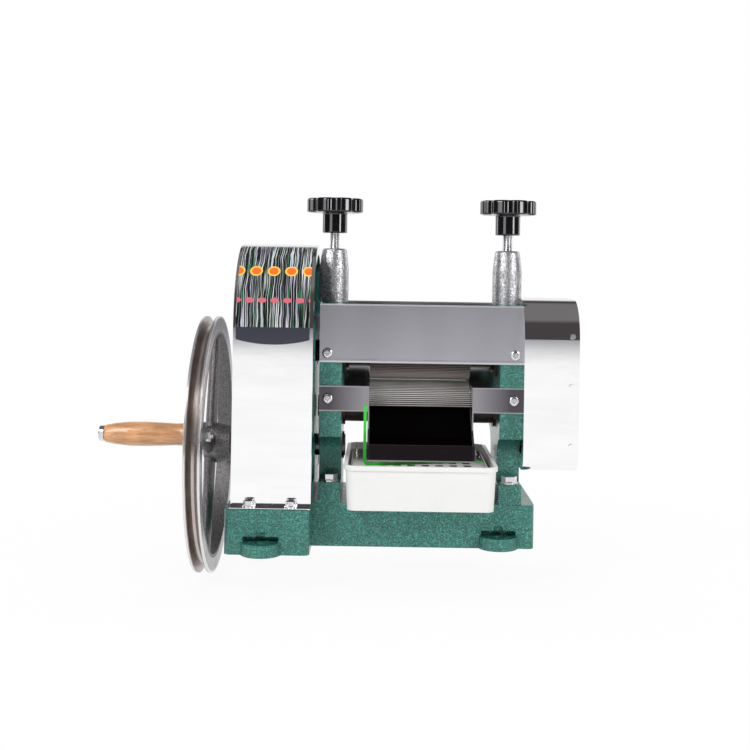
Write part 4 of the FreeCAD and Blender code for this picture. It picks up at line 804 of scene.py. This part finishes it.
def cover_label():
    """A thin label on the bent cover: a point s below the crest is on the arch while s < a quarter turn, and
    straight down after it. Its foot sags by a parabola across the width."""
    sizes = settings()[2]
    radius = COVER_RADIUS
    crest = COVER[1][2]
    centre_z = crest - radius
    quarter = radius * math.pi / 2
    x0, x1 = COVER[0][0] + 3 * MM, COVER[1][0] - 4 * MM
    top, foot = 26 * MM, quarter + 13.5 * MM
    across = np.linspace(0, 1, 25)
    down = np.linspace(0, 1, 90)[:, None]
    sag = 5.5 * MM * (1 - (2 * across - 1) ** 2)[None, :]
    s = top + (foot - top + sag * down ** 6) * down

    def shell(lift):
        turn = np.minimum(s, quarter) / radius
        y = -(radius + lift) * np.sin(turn)
        z = centre_z + (radius + lift) * np.cos(turn) - np.maximum(s - quarter, 0)
        x = np.broadcast_to(x0 + (x1 - x0) * across, s.shape)
        return np.stack([x, y, z], axis=-1)

    outer, inner = shell(sizes.label_lift), shell(0.03 * MM)
    ring = np.concatenate([outer, inner[:, ::-1]], axis=1)
    mid = (outer + inner) / 2
    ends = [np.concatenate([mid[i], mid[i][::-1]], axis=0)[None] for i in (0, -1)]
    piece = gridded("cover_label", [np.concatenate([ends[0], ring, ends[1]], axis=0)], sharp=50.0)
    mesh = piece.data
    corner = np.empty(len(mesh.loops), int)
    mesh.loops.foreach_get("vertex_index", corner)
    flat = np.empty(len(mesh.vertices) * 3)
    mesh.vertices.foreach_get("co", flat)
    points = flat.reshape(-1, 3)[corner]
    turn = np.arctan2(-points[:, 1], points[:, 2] - centre_z)
    fall = np.where(points[:, 2] > centre_z, turn * radius, quarter + centre_z - points[:, 2])
    layer = mesh.uv_layers.new(name="label")
    layer.data.foreach_set("uv", np.stack([points[:, 0] - x0, fall], axis=-1).ravel())
    return piece


def bent_strip():
    """The flexible strip under the left wing: a flat ribbon carried along an L with a round corner. Its line
    is down the upright, a quarter circle, and along the foot, which rises a little to its thin end."""
    low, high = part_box("splash_strip")
    half = (high[1] - low[1]) / 2
    wide = 1.7 * MM
    x, foot = low[0] + wide, low[2] + 6.2 * MM
    corner = 4 * MM
    turn = np.linspace(0, math.pi / 2, 9)
    down = np.linspace(high[2], foot + corner, 12)
    along = np.linspace(0, high[0] - x - corner - 1 * MM, 30)
    line_x = np.concatenate([np.full(12, x), x + corner * (1 - np.cos(turn))[1:-1], x + corner + along])
    line_z = np.concatenate([down, foot + corner * (1 - np.sin(turn))[1:-1], foot + 0.03 * along])
    step_x, step_z = np.gradient(line_x), np.gradient(line_z)
    size = np.hypot(step_x, step_z)
    side_x, side_z = -step_z / size, step_x / size
    share = np.linspace(0, 1, len(line_x))
    width = wide * np.clip((1.02 - share) / 0.45, 0.25, 1.0)
    ring = ((-1, -1), (1, -1), (1, 1), (-1, 1))
    y = middle((low, high), 1)
    lines = []
    for a, b in ring:
        line_y = np.full_like(line_x, y + b * half)
        lines.append(np.stack([line_x + side_x * width * a, line_y, line_z + side_z * width * a], axis=-1))
    body = np.stack(lines, axis=1)
    ends = [np.broadcast_to(body[i].mean(axis=0), (1, 4, 3)) for i in (0, -1)]
    return gridded("bent_strip", [np.concatenate([ends[0], body, ends[1]], axis=0)], sharp=40.0)


# Operators: one for each piece or group of like pieces

class JUICER_OT_castings(bpy.types.Operator):
    """Hammertone enamel on the base and the three standards"""
    bl_idname = "cane_press.castings"
    bl_label = "Castings"

    def execute(self, context):
        paint(enamel(), "base_casting", "left_frame", "right_frame", "gear_frame")
        return {"FINISHED"}


class JUICER_OT_sheets(bpy.types.Operator):
    """Bright sheet on the covers, shields, chute and feed guide"""
    bl_idname = "cane_press.sheets"
    bl_label = "Sheet metal"

    def execute(self, context):
        sheet = settings()[1].sheet
        paint(bright_sheet("Cover sheet", sheet, (0.05, 0.1), (1.0, 1.0, 6.0)), "gear_cover",
              "gear_cover_cheek", "roller_gear_cover", "roller_gear_cover_end", "roller_gear_cover_rivets")
        paint(shield_sheet(), "front_shield", "rear_shield")
        paint(chute_sheet(), "discharge_chute")
        paint(bright_sheet("Guide sheet", tone(sheet, 0.6), (0.1, 0.2), (30.0, 1.0, 1.0)), "feed_guide")
        paint(strainer_sheet(), "strainer")
        return {"FINISHED"}


class JUICER_OT_label(bpy.types.Operator):
    """Printed label on the gear cover's arch"""
    bl_idname = "cane_press.label"
    bl_label = "Label"

    def execute(self, context):
        dress(cover_label(), label_print(), "root", "stainless_sheet")
        return {"FINISHED"}


class JUICER_OT_running_gear(bpy.types.Operator):
    """Machined finishes on rollers, gears, shafts, blocks and bushes"""
    bl_idname = "cane_press.running_gear"
    bl_label = "Rollers and gears"

    def execute(self, context):
        # The upper roller is the same steel as the lower one: its darker colours are painted shade.
        paint(fluted_steel("Shaded upper roller steel", (0.05, 0.04, 0.037), (0.36, 0.32, 0.30),
                           middle(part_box("upper_roller"), 2)), "upper_roller")
        paint(fluted_steel("Lower roller steel", (0.11, 0.10, 0.095), (0.85, 0.82, 0.80),
                           middle(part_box("lower_roller"), 2)), "lower_roller")
        paint(machined("Gear steel", (0.30, 0.30, 0.31)), "upper_roller_gear", "lower_roller_gear",
              "big_gear", "crank_pinion", "crank_shaft", "big_gear_key", "upper_gear_key", "lower_gear_key",
              "pinion_key", "wheel_key", "lower_roller_ring", "crank_ring")
        # The bearing blocks, pins and roller bushes sit in the recess beside the rollers: their near black
        # colours are grease and painted shade, darker than the crank's bushes of the same bronze.
        paint(machined("Greasy steel with painted shade", (0.050, 0.042, 0.040), (0.3, 0.5), (6.0, 6.0, 6.0), 0.7),
              "left_bearing_block", "right_bearing_block", "screw_retaining_pins")
        paint(machined("Greasy bronze with painted shade", (0.16, 0.105, 0.06), (0.3, 0.5)), "lower_left_bush",
              "lower_right_bush", "upper_left_bush", "upper_right_bush")
        paint(machined("Bush bronze", (0.50, 0.34, 0.16)), "crank_inner_bush", "crank_outer_bush")
        return {"FINISHED"}


class JUICER_OT_fasteners(bpy.types.Operator):
    """Cross recessed screws, threaded pressure screws and the zinc plated bolts"""
    bl_idname = "cane_press.fasteners"
    bl_label = "Fasteners"

    def execute(self, context):
        plated = zinc()
        dress(cross_screws("shield_screw_heads", "shield_screws", 3), plated, "root", "zinc_plated",
              "shield_screws")
        dress(cross_screws("wing_screw_heads", "chute_and_guide_screws", 5), plated, "root", "zinc_plated",
              "chute_and_guide_screws")
        for side in ("left", "right"):
            piece, node = threaded_screw(side)
            dress(piece, plated, side + "_knob", "zinc_plated", node)
        paint(plated, "frame_foot_bolts", "gear_cover_screws", "roller_gear_cover_screws", "big_gear_bolt",
              "upper_gear_nut", "lower_gear_nut", "wheel_nut", "wheel_washer", "grip_bolt", "grip_washer",
              "grip_nut")
        return {"FINISHED"}


class JUICER_OT_handwheel(bpy.types.Operator):
    """Cast and machined finishes of the handwheel"""
    bl_idname = "cane_press.handwheel"
    bl_label = "Handwheel"

    def execute(self, context):
        paint(wheel_iron(), "handwheel")
        return {"FINISHED"}


class JUICER_OT_posts(bpy.types.Operator):
    """Silver paint on the posts"""
    bl_idname = "cane_press.posts"
    bl_label = "Posts"

    def execute(self, context):
        paint(silver_cast(), "left_post", "right_post")
        return {"FINISHED"}


class JUICER_OT_knobs(bpy.types.Operator):
    """Glossy black star knobs with rounded lobes"""
    bl_idname = "cane_press.knobs"
    bl_label = "Star knobs"

    def execute(self, context):
        material = black_knob()
        for side in ("left", "right"):
            piece, node = star_knob(side)
            dress(piece, material, side + "_knob", "black_knob", node)
        return {"FINISHED"}


class JUICER_OT_grip(bpy.types.Operator):
    """Varnished wooden grip"""
    bl_idname = "cane_press.grip"
    bl_label = "Wooden grip"

    def execute(self, context):
        dress(turned_grip(), wood(), "grip", "varnished_wood", "wooden_grip")
        return {"FINISHED"}


class JUICER_OT_tray(bpy.types.Operator):
    """White tray and bright green strip"""
    bl_idname = "cane_press.tray"
    bl_label = "Tray"

    def execute(self, context):
        colours = settings()[1]
        paint(moulding("White moulding", colours.plastic, 0.3, 0.96), "juice_tray")
        dress(bent_strip(), moulding("Bright green plastic", colours.strip, 0.35, 0.85), "root",
              "green_plastic", "splash_strip")
        return {"FINISHED"}


class JUICER_OT_stage(bpy.types.Operator):
    """Floor, lights, world and camera"""
    bl_idname = "cane_press.stage"
    bl_label = "Stage"

    def execute(self, context):
        make_floor()
        make_world()
        make_lights()
        make_camera()
        context.scene.view_settings.view_transform = "Standard"
        return {"FINISHED"}


def make_floor():
    """A large pale floor just under the handwheel. To the camera and in gloss it is white, with a faint
    shadow; further than a few metres out it shows the dark of the room in gloss."""
    level = CAD_BOX[0][2] - 0.0005
    half = 8.0
    points = [(-half, -half, level), (half, -half, level), (half, half, level), (-half, half, level)]
    mesh = bpy.data.meshes.new("studio_floor")
    mesh.from_pydata(points, [], [(0, 1, 2, 3)])
    floor = bpy.data.objects.new("studio_floor", mesh)
    bpy.context.scene.collection.objects.link(floor)
    material = bpy.data.materials.new("Studio floor")
    material.use_nodes = True
    tree = material.node_tree
    shader = tree.nodes["Principled BSDF"]
    shader.inputs["Base Color"].default_value = (0.86, 0.86, 0.86, 1.0)
    shader.inputs["Roughness"].default_value = 0.9
    coords = tree.nodes.new("ShaderNodeTexCoord").outputs["Object"]
    length = tree.nodes.new("ShaderNodeVectorMath")
    length.operation = "LENGTH"
    link(tree, coords, length.inputs[0])
    out = length.outputs["Value"]
    path = tree.nodes.new("ShaderNodeLightPath")
    camera, gloss = path.outputs["Is Camera Ray"], path.outputs["Is Glossy Ray"]
    dark = maths(tree, "MULTIPLY", spread(tree, out, 3.6, 5.2), gloss)
    glow = tree.nodes.new("ShaderNodeEmission")
    link(tree, mix_colour(tree, dark, (1.0, 1.0, 1.0), (0.10, 0.10, 0.13)), glow.inputs["Color"])
    blend = tree.nodes.new("ShaderNodeMixShader")
    near = maths(tree, "ADD", maths(tree, "MULTIPLY", spread(tree, out, 0.25, 0.8), 0.06), 0.94)
    link(tree, maths(tree, "MULTIPLY", maths(tree, "MAXIMUM", camera, gloss), near), blend.inputs[0])
    link(tree, shader.outputs[0], blend.inputs[1])
    link(tree, glow.outputs[0], blend.inputs[2])
    link(tree, blend.outputs[0], tree.nodes["Material Output"].inputs["Surface"])
    floor.data.materials.append(material)


def make_world():
    """The room: white to the camera, soft even light, and in gloss a dark room with bright upright panels,
    a white wall behind, low down, and a dim ceiling, for the polished metal to show."""
    world = bpy.data.worlds.new("Studio")
    bpy.context.scene.world = world
    world.use_nodes = True
    tree = world.node_tree
    light = tree.nodes["Background"]
    light.inputs["Color"].default_value = (1.0, 1.0, 1.0, 1.0)
    light.inputs["Strength"].default_value = 0.5
    seen = tree.nodes.new("ShaderNodeBackground")
    seen.inputs["Color"].default_value = (1.0, 1.0, 1.0, 1.0)
    seen.inputs["Strength"].default_value = 1.0
    room = tree.nodes.new("ShaderNodeBackground")
    parts = tree.nodes.new("ShaderNodeSeparateXYZ")
    link(tree, tree.nodes.new("ShaderNodeTexCoord").outputs["Generated"], parts.inputs[0])
    x, y, z = parts.outputs
    turn = maths(tree, "ARCTAN2", x, maths(tree, "MULTIPLY", y, -1.0))
    panels = None
    for place, half in PANELS:
        off = maths(tree, "ABSOLUTE", maths(tree, "SUBTRACT", turn, place))
        panel = spread(tree, off, half * 1.25, half * 0.85)
        panels = panel if panels is None else maths(tree, "MAXIMUM", panels, panel)
    panels = maths(tree, "MULTIPLY", panels, spread(tree, z, 0.62, 0.50))
    ceiling = spread(tree, z, 0.66, 0.84)
    back = maths(tree, "MULTIPLY", spread(tree, y, 0.2, 0.8), spread(tree, z, 0.62, 0.40))
    wall = maths(tree, "ADD", 0.05, maths(tree, "MULTIPLY", back, 0.85))
    dim = maths(tree, "MULTIPLY", ceiling, 0.16)
    level = maths(tree, "MAXIMUM", wall, maths(tree, "MAXIMUM", panels, dim))
    link(tree, mix_colour(tree, level, (0.012, 0.004, 0.005), (1.0, 0.99, 1.0)), room.inputs["Color"])
    link(tree, maths(tree, "ADD", 1.0, maths(tree, "MULTIPLY", panels, PANEL_GAIN)), room.inputs["Strength"])
    world.cycles.sampling_method = "NONE"
    path = tree.nodes.new("ShaderNodeLightPath")
    first = tree.nodes.new("ShaderNodeMixShader")
    link(tree, path.outputs["Is Glossy Ray"], first.inputs[0])
    link(tree, light.outputs[0], first.inputs[1])
    link(tree, room.outputs[0], first.inputs[2])
    second = tree.nodes.new("ShaderNodeMixShader")
    link(tree, path.outputs["Is Camera Ray"], second.inputs[0])
    link(tree, first.outputs[0], second.inputs[1])
    link(tree, seen.outputs[0], second.inputs[2])
    link(tree, second.outputs[0], tree.nodes["World Output"].inputs["Surface"])


def area_light(name, place, target, size, power):
    """A soft rectangular light that points at a target."""
    data = bpy.data.lights.new(name, "AREA")
    data.shape = "RECTANGLE"
    data.size, data.size_y = size
    data.energy = power
    lamp = bpy.data.objects.new(name, data)
    bpy.context.scene.collection.objects.link(lamp)
    way = Vector(target) - Vector(place)
    lamp.matrix_world = Matrix.Translation(place) @ way.to_track_quat("-Z", "Y").to_matrix().to_4x4()
    return lamp


def make_lights():
    area_light("key_light", (-1.3, -1.6, 1.7), (0.0, 0.0, 0.15), (0.9, 1.2), 26.0)
    area_light("fill_light", (1.7, -1.4, 0.9), (0.0, 0.0, 0.15), (0.5, 1.2), 12.0)
    top = area_light("top_light", (0.1, 0.4, 2.0), (0.0, 0.0, 0.15), (1.6, 1.0), 14.0)
    top.visible_glossy = False


def make_camera():
    """A level camera in front of the press, with its lens shifted down."""
    view = settings()[0]
    data = bpy.data.cameras.new("photo_camera")
    data.sensor_width = 36.0
    data.lens = view.lens
    data.shift_y = view.shift
    camera = bpy.data.objects.new("photo_camera", data)
    bpy.context.scene.collection.objects.link(camera)
    turn = (Matrix.Rotation(view.yaw, 4, "Z") @ Matrix.Rotation(math.pi / 2, 4, "X")
            @ Matrix.Rotation(view.roll, 4, "Z"))
    camera.matrix_world = Matrix.Translation(view.place) @ turn
    bpy.context.scene.camera = camera


STEPS = ("castings", "sheets", "label", "running_gear", "fasteners", "handwheel", "posts", "knobs", "grip",
         "tray", "stage")


class JUICER_PT_panel(bpy.types.Panel):
    """Lists the steps that finish the press."""
    bl_idname = "JUICER_PT_panel"
    bl_label = "Cane Press"
    bl_space_type = "VIEW_3D"
    bl_region_type = "UI"
    bl_category = "Cane Press"

    def draw(self, context):
        for step in STEPS:
            self.layout.operator("cane_press." + step)
        for name in ("cane_camera", "cane_colours", "cane_sizes"):
            for prop in getattr(context.scene, name).bl_rna.properties:
                if prop.identifier not in ("rna_type", "name"):
                    self.layout.prop(getattr(context.scene, name), prop.identifier)


CLASSES = (CanePressCamera, CanePressColours, CanePressSizes, JUICER_OT_castings, JUICER_OT_sheets,
           JUICER_OT_label, JUICER_OT_running_gear, JUICER_OT_fasteners, JUICER_OT_handwheel, JUICER_OT_posts,
           JUICER_OT_knobs, JUICER_OT_grip, JUICER_OT_tray, JUICER_OT_stage, JUICER_PT_panel)


def register():
    for cls in CLASSES:
        bpy.utils.register_class(cls)
    bpy.types.Scene.cane_camera = bpy.props.PointerProperty(type=CanePressCamera)
    bpy.types.Scene.cane_colours = bpy.props.PointerProperty(type=CanePressColours)
    bpy.types.Scene.cane_sizes = bpy.props.PointerProperty(type=CanePressSizes)


def unregister():
    del bpy.types.Scene.cane_sizes
    del bpy.types.Scene.cane_colours
    del bpy.types.Scene.cane_camera
    for cls in reversed(CLASSES):
        bpy.utils.unregister_class(cls)


def main():
    register()
    for step in STEPS:
        getattr(bpy.ops.cane_press, step)()


if __name__ == "__main__":
    main()
